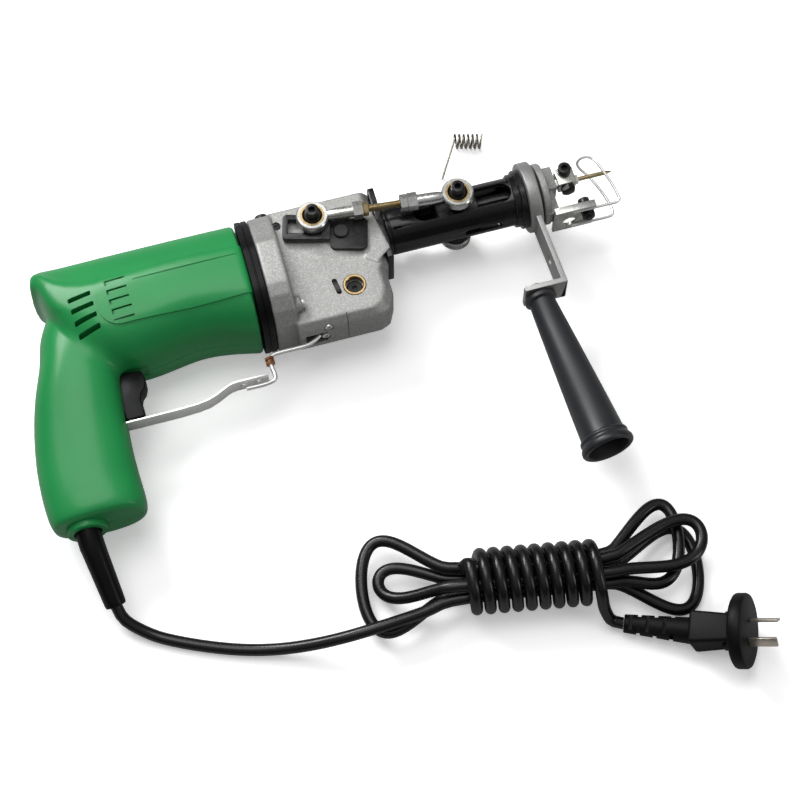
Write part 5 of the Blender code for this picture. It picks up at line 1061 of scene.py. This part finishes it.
shaft = turned(profile, at(0.0, -3.01), (0, 0, 1), "crank_shaft")
dress(shaft, "oxide_black", "crankshaft", angle=30)

# %% [markdown]
# A rod end has a round eye with broken edges, a swaged race that shows as a gold ring, a hard ball,
# and a neck that tapers to a spanner hexagon. A tall socket screw goes through the ball.

# %% Rod ends with their balls
SPAN = math.hypot(CROSSHEAD_X - PIN[0], PIN[1])
TILT = math.atan2(-PIN[1], CROSSHEAD_X - PIN[0])
ROD_Z = 26.0


def on_rod(u, lift=ROD_Z):
    """A point along the connecting rod, counted from the crank's pin."""
    return at(PIN[0] + u * math.cos(TILT), PIN[1] + u * math.sin(TILT), lift)


def rod_end(u, heading, name):
    """Eye, neck and spanner flats of a rod end, with the bore for its stud."""
    eye = turned([(-3.2, 6.5), (-3.2, 9.5), (-2.4, 10.3), (2.4, 10.3), (3.2, 9.5), (3.2, 6.5), (2.6, 6.3),
                  (-2.6, 6.3), (-3.2, 6.5)], on_rod(u), (0, 0, 1), name)
    neck = turned([(7.4, 0), (7.4, 3.1), (9.4, 3.1), (12.5, 3.7), (17.5, 3.9), (26.4, 3.9), (26.4, 0)],
                  on_rod(u), on_rod(u + heading) - on_rod(u), "neck")
    carve(eye, neck, "UNION")
    carve(eye, hex_bar(on_rod(u + heading * 26.0), on_rod(u + heading * 32.2), 5.8, "flats"), "UNION")
    return carve(eye, bar_at(on_rod(u + heading * 21.0), on_rod(u + heading * 33.0), 0.0027, "stud_bore"))


def ball_and_screw(place, name):
    """Ball between two flats and the socket screw through it."""
    curve = [(z, math.sqrt(6.2 ** 2 - z * z)) for z in (-3.9, -3.2, -2.0, 0.0, 2.0, 3.2, 3.9)]
    ball = turned([(-3.9, 0), *curve, (3.9, 4.5), (3.9, 0)], place, (0, 0, 1), name)
    screw = socket_screw(place + Vector((0, 0, 0.0038)), (0, 0, 1), 4.25, 6.6, "ball_screw")
    return carve(ball, screw, "UNION")


for kind, u, heading in (("rear_rod_end", 0.0, 1), ("front_rod_end", SPAN, -1)):
    both_sides(rod_end(u, heading, kind), "zinc_plate", f"{kind[:-4]}_eye", f"{kind}_near", angle=30)
    race = turned([(2.5, 6.1), (3.0, 6.15), (3.35, 6.5), (3.35, 7.6), (3.0, 7.9), (2.5, 7.9), (2.5, 6.1)],
                  on_rod(u), (0, 0, 1), "race")
    both_sides(race, "brass_plate", kind.replace("rod_end", "race"), body="rods", slot="brass", angle=30)
both_sides(ball_and_screw(on_rod(0.0), "rear_ball"), "oxide_black", "rear_ball",
           "rear_ball_bolt_near", angle=30)
both_sides(ball_and_screw(on_rod(SPAN), "front_ball"), "oxide_black", "front_ball",
           "front_ball_bolt_near", angle=30)

# %% [markdown]
# A yellow threaded stud joins the two ends of each rod. A small nut sits on it at the crank's end
# and a larger jam nut locks it at the crosshead's end. Nut and stud turn as one, so they are joined.

# %% Threaded studs and nuts of the rods
stud = thread(on_rod(21.4), on_rod(SPAN - 21.4), 2.45, 0.8, "rod_stud")
nut = hex_bar(on_rod(32.6), on_rod(35.7), 4.5, "stud_nut")
both_sides(join_up(stud, nut), "yellow_plate", "threaded_rod", "rod_stud_near", angle=30)
nut = hex_bar(on_rod(SPAN - 32.4), on_rod(SPAN - 37.0), 5.5, "jam_nut", bore=2.7)
both_sides(nut, "zinc_plate", "lock_nut", "jam_nut_near", angle=30)

# %% [markdown]
# The crosshead is a short piston with two oil grooves. Its cross pins stand out through the barrel's side
# slots. It is given a black finish as painted shade for the inside of the barrel, so it shows only as a shine
# in the slots.

# %% Crosshead with its cross pins
slider = turned([(-13.5, 0), (-13.5, 11.3), (-12.8, 11.9), (-6.5, 11.9), (-6.5, 11.3), (-5.5, 11.3),
                 (-5.5, 11.9), (5.5, 11.9), (5.5, 11.3), (6.5, 11.3), (6.5, 11.9), (12.8, 11.9),
                 (13.5, 11.3), (13.5, 0)], at(CROSSHEAD_X, 0), (1, 0, 0), "slider")
pins = turned([(-21.6, 0), (-21.6, 5.0), (-21.2, 5.4), (21.2, 5.4), (21.6, 5.0), (21.6, 0)],
              at(CROSSHEAD_X, 0), (0, 0, 1), "cross_pins")
carve(slider, pins, "UNION")
# black finish: painted shade inside the barrel
dress(slider, "oxide_black", "crosshead", angle=30)

# %% [markdown]
# The barrel is a blackened steel tube. Long side slots let the crosshead's pins through, a grease
# window is cut in its lower side, and near the flange it has a short key slot and a small hole. The
# side slots are one long cutter through the whole tube. The flange behind the tube is plate with
# broken edges, and the collar at its front is turned.

# %% Flange, barrel and nose collar
BORE = 12.25
flange = box_at((24.3, -26.5, -15.5), (28.5, 25.2, 15.5), "flange")
carve(flange, bar_at(at(20, 0), at(30, 0), BORE * 0.001, "flange_bore", 64))
bevel_edges(flange, 0.0006, 3)
dress(flange, "satin_steel", "barrel_flange", angle=30)

barrel = turned([(0, BORE), (0, 15.3), (0.5, 15.8), (1.8, 15.8), (2.2, 15.3), (3.0, 15.3), (3.4, 15.8),
                 (102.2, 15.8), (102.7, 15.3), (102.7, BORE), (0, BORE)], at(28.8, 0), (1, 0, 0), "tube",
                96)
carve(barrel, plate(slot_shape(55.0, 0, 106.4, 0, 7.0), -20, 20, "side_slot"))
carve(barrel, plate(slot_shape(81.5, 1.2, 101.5, 1.2, 2.5), -20, 0, "grease_window", axis="Y"))
carve(barrel, plate(slot_shape(34.3, -7.1, 38.4, -7.1, 0.8), 12.0, 20, "key_slot"))
carve(barrel, bar_at(at(35.5, -12.6, 8.6), at(35.5, -18.6, 12.8), 0.0022, "ring_hole"))
bevel_edges(barrel, 0.0003, 2)
dress(barrel, "satin_steel", "barrel", angle=30)

profile = [(0, 15.9), (0, 16.9), (0.5, 17.4), (3.8, 17.4), (4.0, 17.6), (4.0, 18.7), (4.5, 19.2), (7.3, 19.2),
           (7.8, 18.7), (7.8, 15.9), (0, 15.9)]
dress(turned(profile, at(113.7, 0), (1, 0, 0), "front_collar", 96), "satin_steel", "nose_collar", angle=30)

# %% [markdown]
# The grey nose piece closes the barrel. Two cast blocks stand on its face, and a square hole
# through the upper one guides the needle bar. The blocks get their rounded edges before they are
# welded on, so the corner where they meet the face stays tight.

# %% Nose piece with its guide block
GRUB_X = 139.6
hub = turned([(0, 0), (0, 19.6), (0.6, 20.2), (3.9, 20.2), (4.5, 19.6), (4.5, 0)], at(131.8, 0), (1, 0, 0),
             "nose_piece", 96)
blocks = [box_at((133.3, -2.5, -8.5), (144.5, 14.0, 8.5), "guide_block"),
          box_at((133.3, -19.7, -4.25), (141.5, -2.2, 6.8), "lower_block")]
for part in blocks:
    bevel_edges(part, 0.0008, 2)
    carve(hub, part, "UNION")
carve(hub, box_at((128, 0.4, -0.1), (150, 5.6, 5.1), "guide_hole"))
carve(hub, bar_at(at(GRUB_X, 20, 0), at(GRUB_X, 10, 0), 0.0021, "screw_hole", 32))
bevel_edges(hub, 0.0003, 2)
dress(hub, "cast_alloy", "nose_hub", angle=30)
grub = socket_screw(at(GRUB_X, 12.6, 0), (0, 1, 0), 1.9, 1.0, "guide_screw")
dress(grub, "oxide_black", body="machine", slot="black_steel", angle=30)

# %% [markdown]
# The side handle hangs from a clamp ring on the collar. Its bent arm is thick strip welded to the
# ring. The handle is a hollow cone with a rounded lip round its mouth and a raised bead behind it.

# %% Handle bracket
HANDLE_X, ARM_FOOT = 111.5, -70.5
bracket = turned([(0, 16.1), (0, 22.4), (0.6, 23.0), (7.4, 23.0), (8.0, 22.4), (8.0, 16.1), (0, 16.1)],
                 at(121.8, 0), (1, 0, 0), "bracket", 96)
arm = plate([(124.4, -17), (126.6, ARM_FOOT), (130.0, ARM_FOOT), (127.8, -17)], -10.5, 10.5, "bent_arm")
carve(arm, box_at((102.2, ARM_FOOT, -10.5), (129.2, -67.1, 10.5), "arm_foot"), "UNION")
carve(arm, bar_at(at(120, -48), at(135, -48), 0.003, "arm_hole"))
carve(arm, bar_at(at(HANDLE_X, -60), at(HANDLE_X, -75), 0.0028, "bolt_hole"))
carve(bracket, arm, "UNION")
bevel_edges(bracket, 0.0005, 2)
dress(bracket, "grey_steel", "handle_bracket", angle=30)

# %% [markdown]
# The handle's outline runs down its outside, round the lip and back up the hollow to a floor that
# the bolt passes through. It leans forward by five degrees.

# %% Side handle and its bolt
tilt = math.radians(5.1)
down = Vector((math.sin(tilt), -math.cos(tilt), 0))
profile = [(0, 0), (0, 9.8), (0.7, 10.5), (2.9, 10.5), (3.4, 10.0), (4.0, 8.6), (4.8, 8.5), (27, 9.9),
           (50.4, 11.25), (76, 12.7), (101.4, 14.0), (102.2, 14.2), (102.9, 15.2), (103.6, 15.5),
           (104.6, 15.5), (105.2, 15.1), (106.2, 15.2), (107.4, 16.1), (108.6, 16.7), (110.4, 16.8),
           (111.4, 16.4), (112, 15.6), (112.2, 14.6), (111.7, 13.4), (110.4, 12.9), (78, 11.7), (78, 0)]
handle = turned(profile, at(HANDLE_X, ARM_FOOT) + down * 0.00123, down, "hollow_handle", 96)
dress(handle, "handle_grey", "side_handle", angle=35)
bolt = socket_screw(at(HANDLE_X, -66.9), (0, 1, 0), 4.25, 3.4, "handle_screw", 2.4, 19.0)
dress(bolt, "oxide_black", "handle_bolt", angle=30)

# %% [markdown]
# The square needle bar ends in a hollow needle with an eye near its point. Inside the barrel the bar is given
# a black finish, which is painted shade for the inside of the barrel, and in front of the nose it is bright,
# so it is bisected at the nose and its two lengths get different finishes.

# %% Needle bar and needle
bar = box_at((91.2, 0.7, 0.2), (160.5, 5.3, 4.8), "square_bar")
carve(bar, bar_at(at(150, 3, 2.5), at(162, 3, 2.5), 0.0017, "needle_bore", 32))
bevel_edges(bar, 0.0003, 2)
dress(bar, "bright_steel", "needle_bar", angle=30)
# the second finish, black, is painted shade for the length inside the barrel
bar.data.materials.append(FINISHES["oxide_black"])
nose = at(131.0, 0)
whole_mesh(bar)
bpy.ops.mesh.bisect(plane_co=nose, plane_no=(1, 0, 0))
only(bar)
painted_shade = pick(bar, lambda c, n: c.x < nose.x)
bar.active_material_index = 1
bpy.ops.object.material_slot_assign()
only(bar)
print("oily faces of the bar:", painted_shade)
needle = turned([(0, 0), (0, 1.4), (20.0, 1.4), (22.5, 0.9), (25.3, 0.15), (25.5, 0)], at(158.5, 3, 2.5),
                (1, 0, 0), "hollow_needle", 32)
eye = plate(slot_shape(178.6, 3.0, 180.0, 3.0, 0.45), 0.0, 6.0, "needle_eye")
carve(needle, eye)
dress(needle, "yellow_plate", "needle", angle=30)

# %% [markdown]
# A split block clamps the needle to the bar. A socket screw draws it together from the near side
# with its nut on the far side, and a second nut grips the needle from below.

# %% Needle clamp
CLAMP_X, CLAMP_Y = 152.2, 8.1
clamp = box_at((146.2, -0.7, -2.5), (158.2, 11.2, 7.5), "clamp_block")
bevel_edges(clamp, 0.0006, 2)
carve(clamp, box_at((145, 0.4, -0.1), (160, 5.6, 5.1), "bar_hole"))
carve(clamp, box_at((145, 4.0, 2.1), (160, 12.0, 2.9), "clamp_split"))
carve(clamp, bar_at(at(CLAMP_X, CLAMP_Y, -4), at(CLAMP_X, CLAMP_Y, 9), 0.0025, "screw_bore", 32))
dress(clamp, "zinc_plate", "needle_clamp", angle=30)
bolt = socket_screw(at(CLAMP_X, CLAMP_Y, 7.8), (0, 0, 1), 4.25, 5.0, "clamp_screw", 2.2, 14.6)
nut = hex_bar(at(CLAMP_X, CLAMP_Y, -2.8), at(CLAMP_X, CLAMP_Y, -6.3), 4.9, "clamp_nut")
dress(carve(bolt, nut, "UNION"), "oxide_black", "needle_clamp_bolt", angle=30)
grip_nut = hex_bar(at(CLAMP_X, -0.7, 2.5), at(CLAMP_X, -4.4, 2.5), 4.7, "grip_nut")
dress(grip_nut, "oxide_black", body=body_of["needle_clamp"], slot="black_steel", angle=30)

# %% [markdown]
# Under the nose sits a strip bracket with a flange turned down along its near edge. Its screw
# stands on a washer, and its nut clamps the wire foot from below.

# %% Foot bracket and its screw
SCREW_X, SCREW_Z = 159.3, 2
strip = box_at((136.6, -22.0, -13.5), (163.5, -20.0, 13.5), "foot_strip")
carve(strip, box_at((136.6, -24.5, 11.5), (163.5, -20.1, 13.5), "flange"), "UNION")
carve(strip, bar_at(at(147.5, -18, -4.5), at(147.5, -24, -4.5), 0.0045, "round_hole"))
carve(strip, bar_at(at(SCREW_X, -18, SCREW_Z), at(SCREW_X, -24, SCREW_Z), 0.0023, "screw_hole", 32))
bevel_edges(strip, 0.0004, 2)
dress(strip, "zinc_plate", "foot_bracket", angle=30)
bolt = socket_screw(at(SCREW_X, -17.2, SCREW_Z), (0, 1, 0), 3.8, 5.0, "foot_screw", 2.0, 9.8)
washer = turned([(0, 0), (0, 3.1), (0.3, 3.4), (2.0, 3.4), (2.5, 3.0), (2.5, 0)],
                at(SCREW_X, -19.7, SCREW_Z), (0, 1, 0), "foot_washer", 32)
nut = hex_bar(at(SCREW_X, -22.3, SCREW_Z), at(SCREW_X, -25.8, SCREW_Z), 4.4, "foot_nut")
carve(bolt, washer, "UNION")
dress(carve(bolt, nut, "UNION"), "oxide_black", "foot_bolt", angle=30)

# %% [markdown]
# The foot is one springy wire: two legs under the bracket, and a bow that climbs past the needle
# on one side, loops over it and comes down on the other. It is a curve through measured points.

# %% Wire foot
tip, leg, bend = 180.5, -23.2, 2.7
points = [(148.5, leg, 8.5), (160.0, leg, 8.5), (171.0, leg, 8.5), (tip - bend, leg, 8.5),
          (tip - bend / 3, leg + bend / 3, 8.7), (tip, leg + bend, 8.9)]
points += [(178.7, -10.7, 10.5), (175.9, -1.9, 12.5), (173.5, 5.5, 13.0), (171.4, 11.2, 11.0),
           (169.3, 15.8, 6.0), (166.7, 18.4, 0.0), (165.3, 17.8, -4.0), (166.8, 15.3, -7.0),
           (170.8, 9.7, -8.8), (174.2, 1.0, -9.0), (177.0, -9.3, -8.8), (178.2, -17.0, -8.6),
           (177.4, leg + bend / 2, -8.5), (174.5, leg, -8.5), (160.0, leg, -8.5), (148.5, leg, -8.5)]
foot_wire = wire_curve(smooth_line([at(*point) for point in points], 0.0012), 0.9, "foot_wire", 3)
dress_wire(foot_wire, "bright_steel", "presser_foot_wire")

# %% [markdown]
# The trigger hangs in the opening of the grip. It is cut from sheet as thick as a finger is wide,
# with a hollow for the finger, and its edges are well rounded.

# %% Trigger
outline = [(-155.3, -57.5), (-157.5, -60.0), (-159.5, -64.2), (-160.0, -76.0), (-158.5, -88.4),
           (-146.9, -88.4), (-146.6, -82.0), (-147.2, -77.0), (-146.0, -73.0), (-143.2, -70.0),
           (-141.7, -66.0), (-141.6, -62.4), (-143.3, -57.5)]
trigger = plate(outline, -6.5, 6.5, "trigger_key")
bevel_edges(trigger, 0.0009, 3, angle=25)
dress(trigger, "satin_black", "trigger", angle=35)

# %% [markdown]
# The guard is a strip of spring steel that rises in a shallow wave to a flat end, where two rivets
# hold the guard's wire. One line along its middle gives both of its faces.

# %% Guard strip
spine = [(-164.5, -89.6), (-150, -89.6), (-136, -89.6), (-124, -89.5), (-114, -89.0), (-107, -88.0),
         (-101, -85.9), (-96, -83.4), (-92, -81.6), (-88, -80.9), (-80, -80.85), (-67.5, -80.85)]
lower = [(x, y - 0.6) for x, y in spine]
upper = [(x, y + 0.6) for x, y in reversed(spine)]
strip = plate(lower + upper, -6.0, 6.0, "guard_strip")
STRIP_END = -80.85
for x in (-83.5, -74.0):
    rivet = turned([(-1.9, 0), (-1.9, 1.6), (-1.5, 2.1), (1.3, 2.1), (1.7, 1.6), (1.8, 0)], at(x, STRIP_END),
                   (0, 1, 0), "rivet", 32)
    carve(strip, rivet, "UNION")
bevel_edges(strip, 0.00025, 2)
dress(strip, "bright_steel", "trigger_guard", angle=30)

# %% [markdown]
# The guard's wire hooks round the strip's end, goes up past two copper-coloured nuts and runs
# along the gearbox's foot into its recess. All of its bends are multiples of its own radius.

# %% Guard wire and its nuts
r = 1.4
under, cover, stem = -80.8 - 1.3 - r - 0.9, -62.4 - 1.2 - r - 0.6, -65.5
points = [(-88.0 + 4 * r, under), (-80.0, under), (-67.5 - 2 * r, under), (stem + r, under + r),
          (stem + 1.6 * r, under + 3 * r), (stem + 1.4 * r, -76.0), (stem + r, cover - 2.5 * r),
          (stem + 3 * r, cover - 0.4 * r), (stem + 7 * r, cover), (-50.0, cover), (-43.0, cover),
          (-37.5, cover + 0.6), (-33.0, cover + 2.6), (-29.5, cover + 5.0)]
wire = wire_curve(smooth_line([at(*point) for point in points], 0.0015), r, "guard_rod", 3)
dress_wire(wire, "bright_steel", "guard_wire")
for number, height in enumerate((-72.4, -69.4)):
    start = at(stem + r * 1.1, height)
    nut = hex_bar(start, at(stem + r * 1.05, height + 1.9), 3.2, f"guard_nut_{number}", bore=1.45)
    dress(nut, "copper_part", body="machine", slot="copper", angle=30)

# %% [markdown]
# The lead leaves the grip through a soft sleeve that bends down to the table. It is drawn through
# rings along its path, thick at the boss and thin at the end.

# %% Sleeve at the grip
down = Vector((0, -1, 0))
start, bent = at(-196.5, -148.8), SLEEVE_BEND.lerp(SLEEVE_END, 0.1)
stations = [(start, down, 7.9), (at(-196.5, -150.5), down, 7.9), (at(-196.5, -152.6, -0.3), down, 7.8),
            (bent, (down + leaving).normalized(), 7.75)]
for share in (0.22, 0.34, 0.48, 0.62, 0.76, 0.88, 0.96):
    stations.append((SLEEVE_BEND.lerp(SLEEVE_END, share), leaving, 7.75 - 1.2 * share))
stations.append((SLEEVE_END, leaving, 6.2))
rings = []
for centre, way, size in stations:
    across = way.cross(Vector((0, 0, 1))).normalized()
    other = way.cross(across)
    rings.append([centre + (across * math.cos(math.tau * i / 48) + other * math.sin(math.tau * i / 48))
                  * size * 0.001 for i in range(48)])
sleeve = skin(rings, "lead_sleeve")
dress(sleeve, "satin_black", "cord_sleeve", angle=50)

# %% [markdown]
# The plug is one rubber moulding. Its strain relief is a cone with pairs of slots, cut by turns
# from the sides and from above and below, so that it bends both ways.

# %% Strain relief of the plug
def beside(origin, way, u, v, w):
    """A point u along an axis, v up the plug's side and w across it, in millimetres."""
    across = way.cross(Vector((0, 0, 1))).normalized()
    return origin + (way * u + across.cross(way) * v + across * w) * 0.001


def axes_of(way):
    """Turn that lays X along a direction, Y level across it and Z upwards."""
    across = way.cross(Vector((0, 0, 1))).normalized()
    return Matrix((way, across, across.cross(way))).transposed()


run = (PLUG_BACK - PLUG_START).length * 1000
relief = turned([(0, 0), (0, 5.2), (0.5, 5.6), (10, 6.2), (22, 6.9), (32, 7.6), (run, 8.2), (run + 4, 8.2),
                 (run + 4, 0)], PLUG_START, plug_run, "plug_relief", 64)
slot_turn = axes_of(plug_run).to_euler()
for row in range(6):
    from_side = row % 2
    for side in (1, -1):
        rise, out = (0, side * 6.5) if from_side else (side * 6.5, 0)
        bpy.ops.mesh.primitive_cube_add(size=1.0, location=beside(PLUG_START, plug_run, 4.0 + row * 5.0,
                                                                  rise, out))
        cutter = named("relief_slot")
        cutter.scale = (0.0022, 0.0058, 0.0105) if from_side else (0.0022, 0.0105, 0.0058)
        cutter.rotation_euler = slot_turn
        carve(relief, freeze(cutter, place=False))

# %% [markdown]
# The plug's grip widens towards its face, has a lug on each side, and carries a thick round flange
# with four notches. Everything is welded into one moulding.

# %% Grip, lugs and flange of the plug
axis = (PLUG_FACE - PLUG_BACK).normalized()
reach = (PLUG_FACE - PLUG_BACK).length * 1000
plug_turn = axes_of(axis).to_4x4()


def plug_block(low, high, name):
    """A box along the plug's own axis, between two corners in millimetres."""
    middle = [(a + b) / 2 for a, b in zip(low, high)]
    bpy.ops.mesh.primitive_cube_add(size=1.0, location=(0, 0, 0))
    obj = named(name)
    obj.scale = [(b - a) * 0.001 for a, b in zip(low, high)]
    freeze(obj, place=False)
    centre = PLUG_BACK + plug_turn.to_3x3() @ (Vector(middle) * 0.001)
    obj.matrix_world = Matrix.Translation(centre) @ plug_turn
    return freeze(obj)


grip_block = plug_block((-1.0, -8.6, -8.4), (reach - 7.5, 8.6, 8.4), "plug_grip")
pick(grip_block, lambda c, n: n.dot(axis) > 0.9)
bpy.ops.transform.resize(value=(1.22, 1.22, 1.22))
only(grip_block)
bevel_edges(grip_block, 0.0022, 3)
for side in (1, -1):
    lug = plug_block((reach - 15.0, side * 9.0 - 2.4, -3.5), (reach - 6.5, side * 9.0 + 2.4, 3.5), "plug_lug")
    carve(grip_block, bevel_edges(lug, 0.0008, 2), "UNION")
disc = turned([(reach - 8.5, 0), (reach - 8.5, 20.8), (reach - 7.6, 22.2), (reach - 6.6, 22.6),
               (reach - 1.6, 22.6), (reach - 0.5, 22.0), (reach, 20.8), (reach, 0)], PLUG_BACK, axis,
              "plug_flange", 96)
for notch_angle in (52, 128, 232, 308):
    a = math.radians(notch_angle)
    v, w = 23.2 * math.cos(a), 23.2 * math.sin(a)
    carve(disc, plug_block((reach - 9.5, v - 2.6, w - 2.6), (reach - 5.2, v + 2.6, w + 2.6), "notch"))
carve(disc, grip_block, "UNION")
carve(disc, relief, "UNION")
disc.name = "plug"
dress(disc, "rubber_black", "plug_body", angle=35)

# %% [markdown]
# Two flat pins stand in the plug's face, turned apart by thirty degrees each way, with a narrowed tip.

# %% Pins of the plug
pin_frame = axis.to_track_quat("Z", "Y").to_matrix().to_4x4()
pins = []
for node, side in (("plug_pin_near", 1), ("plug_pin_far", -1)):
    bpy.ops.mesh.primitive_cube_add(size=1.0, location=(0, 0, 0))
    pin = named(f"{node}_blade")
    pin.scale = (0.0016, 0.0063, 0.0167)
    freeze(pin, place=False)
    pick(pin, lambda c, n: n.z > 0.9)
    bpy.ops.mesh.inset(thickness=0.0003, depth=0.0)
    bpy.ops.transform.translate(value=(0, 0, 0.0003))
    only(pin)
    bevel_edges(pin, 0.0003, 2)
    stand = Matrix.Translation((side * 0.0068, 0, 0.0003 + 0.00835)) @ Matrix.Rotation(
        math.radians(30) * side, 4, "Z")
    pin.matrix_world = Matrix.Translation(PLUG_FACE) @ pin_frame @ stand
    dress(pin, "pin_metal", node, angle=30)
    pins.append(pin)

# %% [markdown]
# The spare torsion spring is bright wire. It is drawn as one curve: a long leg, six turns that
# lie on the table, and a short end.

# %% Spare spring
along = Vector((math.cos(math.radians(-15)), math.sin(math.radians(-15)), 0))
across = Vector((-along.y, along.x, 0))
WIRE, COIL, TURNS, STEPS_A_TURN = 0.7, 4.7, 6, 20
low = WIRE + 0.3 - TABLE
coil = COIL * 0.001
middle = at(97.8, 72.5, low + COIL)
joint = middle + Vector((0, 0, coil)) - across * coil / 2
leg_end = at(82.5, 48.7, low)
points = [leg_end, leg_end.lerp(joint, 0.5), joint]
for i in range(TURNS * STEPS_A_TURN + 1):
    a = math.pi - math.tau * i / STEPS_A_TURN
    points.append(middle + along * 0.003 * i / STEPS_A_TURN + across * coil * math.sin(a)
                  - Vector((0, 0, coil * math.cos(a))))
points.append(points[-1] + across * 0.0028 + along * 0.0007)
spring = wire_curve(points, WIRE, "torsion_spring", 3)
dress_wire(spring, "spring_wire", "spare_spring")

# %% [markdown]
# The table is a pale sheet that shows as white to the camera alone. To everything else, such as
# shiny metal, it is a mid grey, so that no extra light falls on the machine from below. It keeps
# the machine's soft shadow.

# %% Table
def backdrop_material():
    """White to the camera, mid grey to light and reflections."""
    material = bpy.data.materials.new("backdrop_white")
    material.use_nodes = True
    tree = material.node_tree
    shader = tree.nodes["Principled BSDF"]
    shader.inputs["Roughness"].default_value = 0.9
    shader.inputs["Specular IOR Level"].default_value = 0.1
    seen = add(tree, "ShaderNodeLightPath").outputs["Is Camera Ray"]
    tree.links.new(mix_of(tree, seen, (0.42, 0.42, 0.42), (1.0, 1.0, 1.0)), shader.inputs["Base Color"])
    lift = add(tree, "ShaderNodeMath", [(0, seen)], operation="MULTIPLY")
    lift.inputs[1].default_value = 0.3
    shader.inputs["Emission Color"].default_value = (1.0, 1.0, 1.0, 1.0)
    tree.links.new(lift.outputs[0], shader.inputs["Emission Strength"])
    return material


bpy.ops.mesh.primitive_plane_add(size=14.0, location=(0.0, 0.0, -0.0004))
floor = named("table_sheet")
settle(floor)
floor.data.materials.append(backdrop_material())
print("table laid")

# %% [markdown]
# The photograph's light is a soft studio. A key lamp behind the machine gives the highlights on
# the green, a wide one hangs overhead, and a weak one from the front right edges the steel. The
# world is bright above and dark at the horizon, so that round metal shows a dark band, as it does
# between soft boxes.

# %% Lamps and world
def lamp(name, place, size, power, aim=(0.0, -0.05, 0.0)):
    """A soft rectangular lamp that looks at the machine."""
    bpy.ops.object.light_add(type="AREA", location=place)
    light = named(name)
    light.data.shape = "RECTANGLE"
    light.data.size, light.data.size_y = size
    light.data.energy = power
    light.rotation_euler = (Vector(place) - Vector(aim)).to_track_quat("Z", "Y").to_euler()
    return light


lamp("key_lamp", (-0.55, 1.05, 1.15), (0.9, 0.5), 23.0)
lamp("top_lamp", (-0.15, 0.25, 1.7), (1.2, 0.9), 11.0)
lamp("rim_lamp", (1.2, -0.9, 0.6), (0.35, 0.9), 3.0)
world = bpy.data.worlds.new("pale_room")
bpy.context.scene.world = world
world.use_nodes = True
tree = world.node_tree
sky = tree.nodes["Background"]
place = add(tree, "ShaderNodeTexCoord").outputs["Generated"]
height = add(tree, "ShaderNodeSeparateXYZ", [("Vector", place)]).outputs["Z"]
shade = ramp(tree, height, [(0.0, 0.10), (0.35, 0.16), (0.72, 0.62), (1.0, 1.0)])
tree.links.new(shade.outputs["Color"], sky.inputs["Color"])
sky.inputs["Strength"].default_value = 0.55
bpy.context.scene.view_settings.view_transform = "Standard"
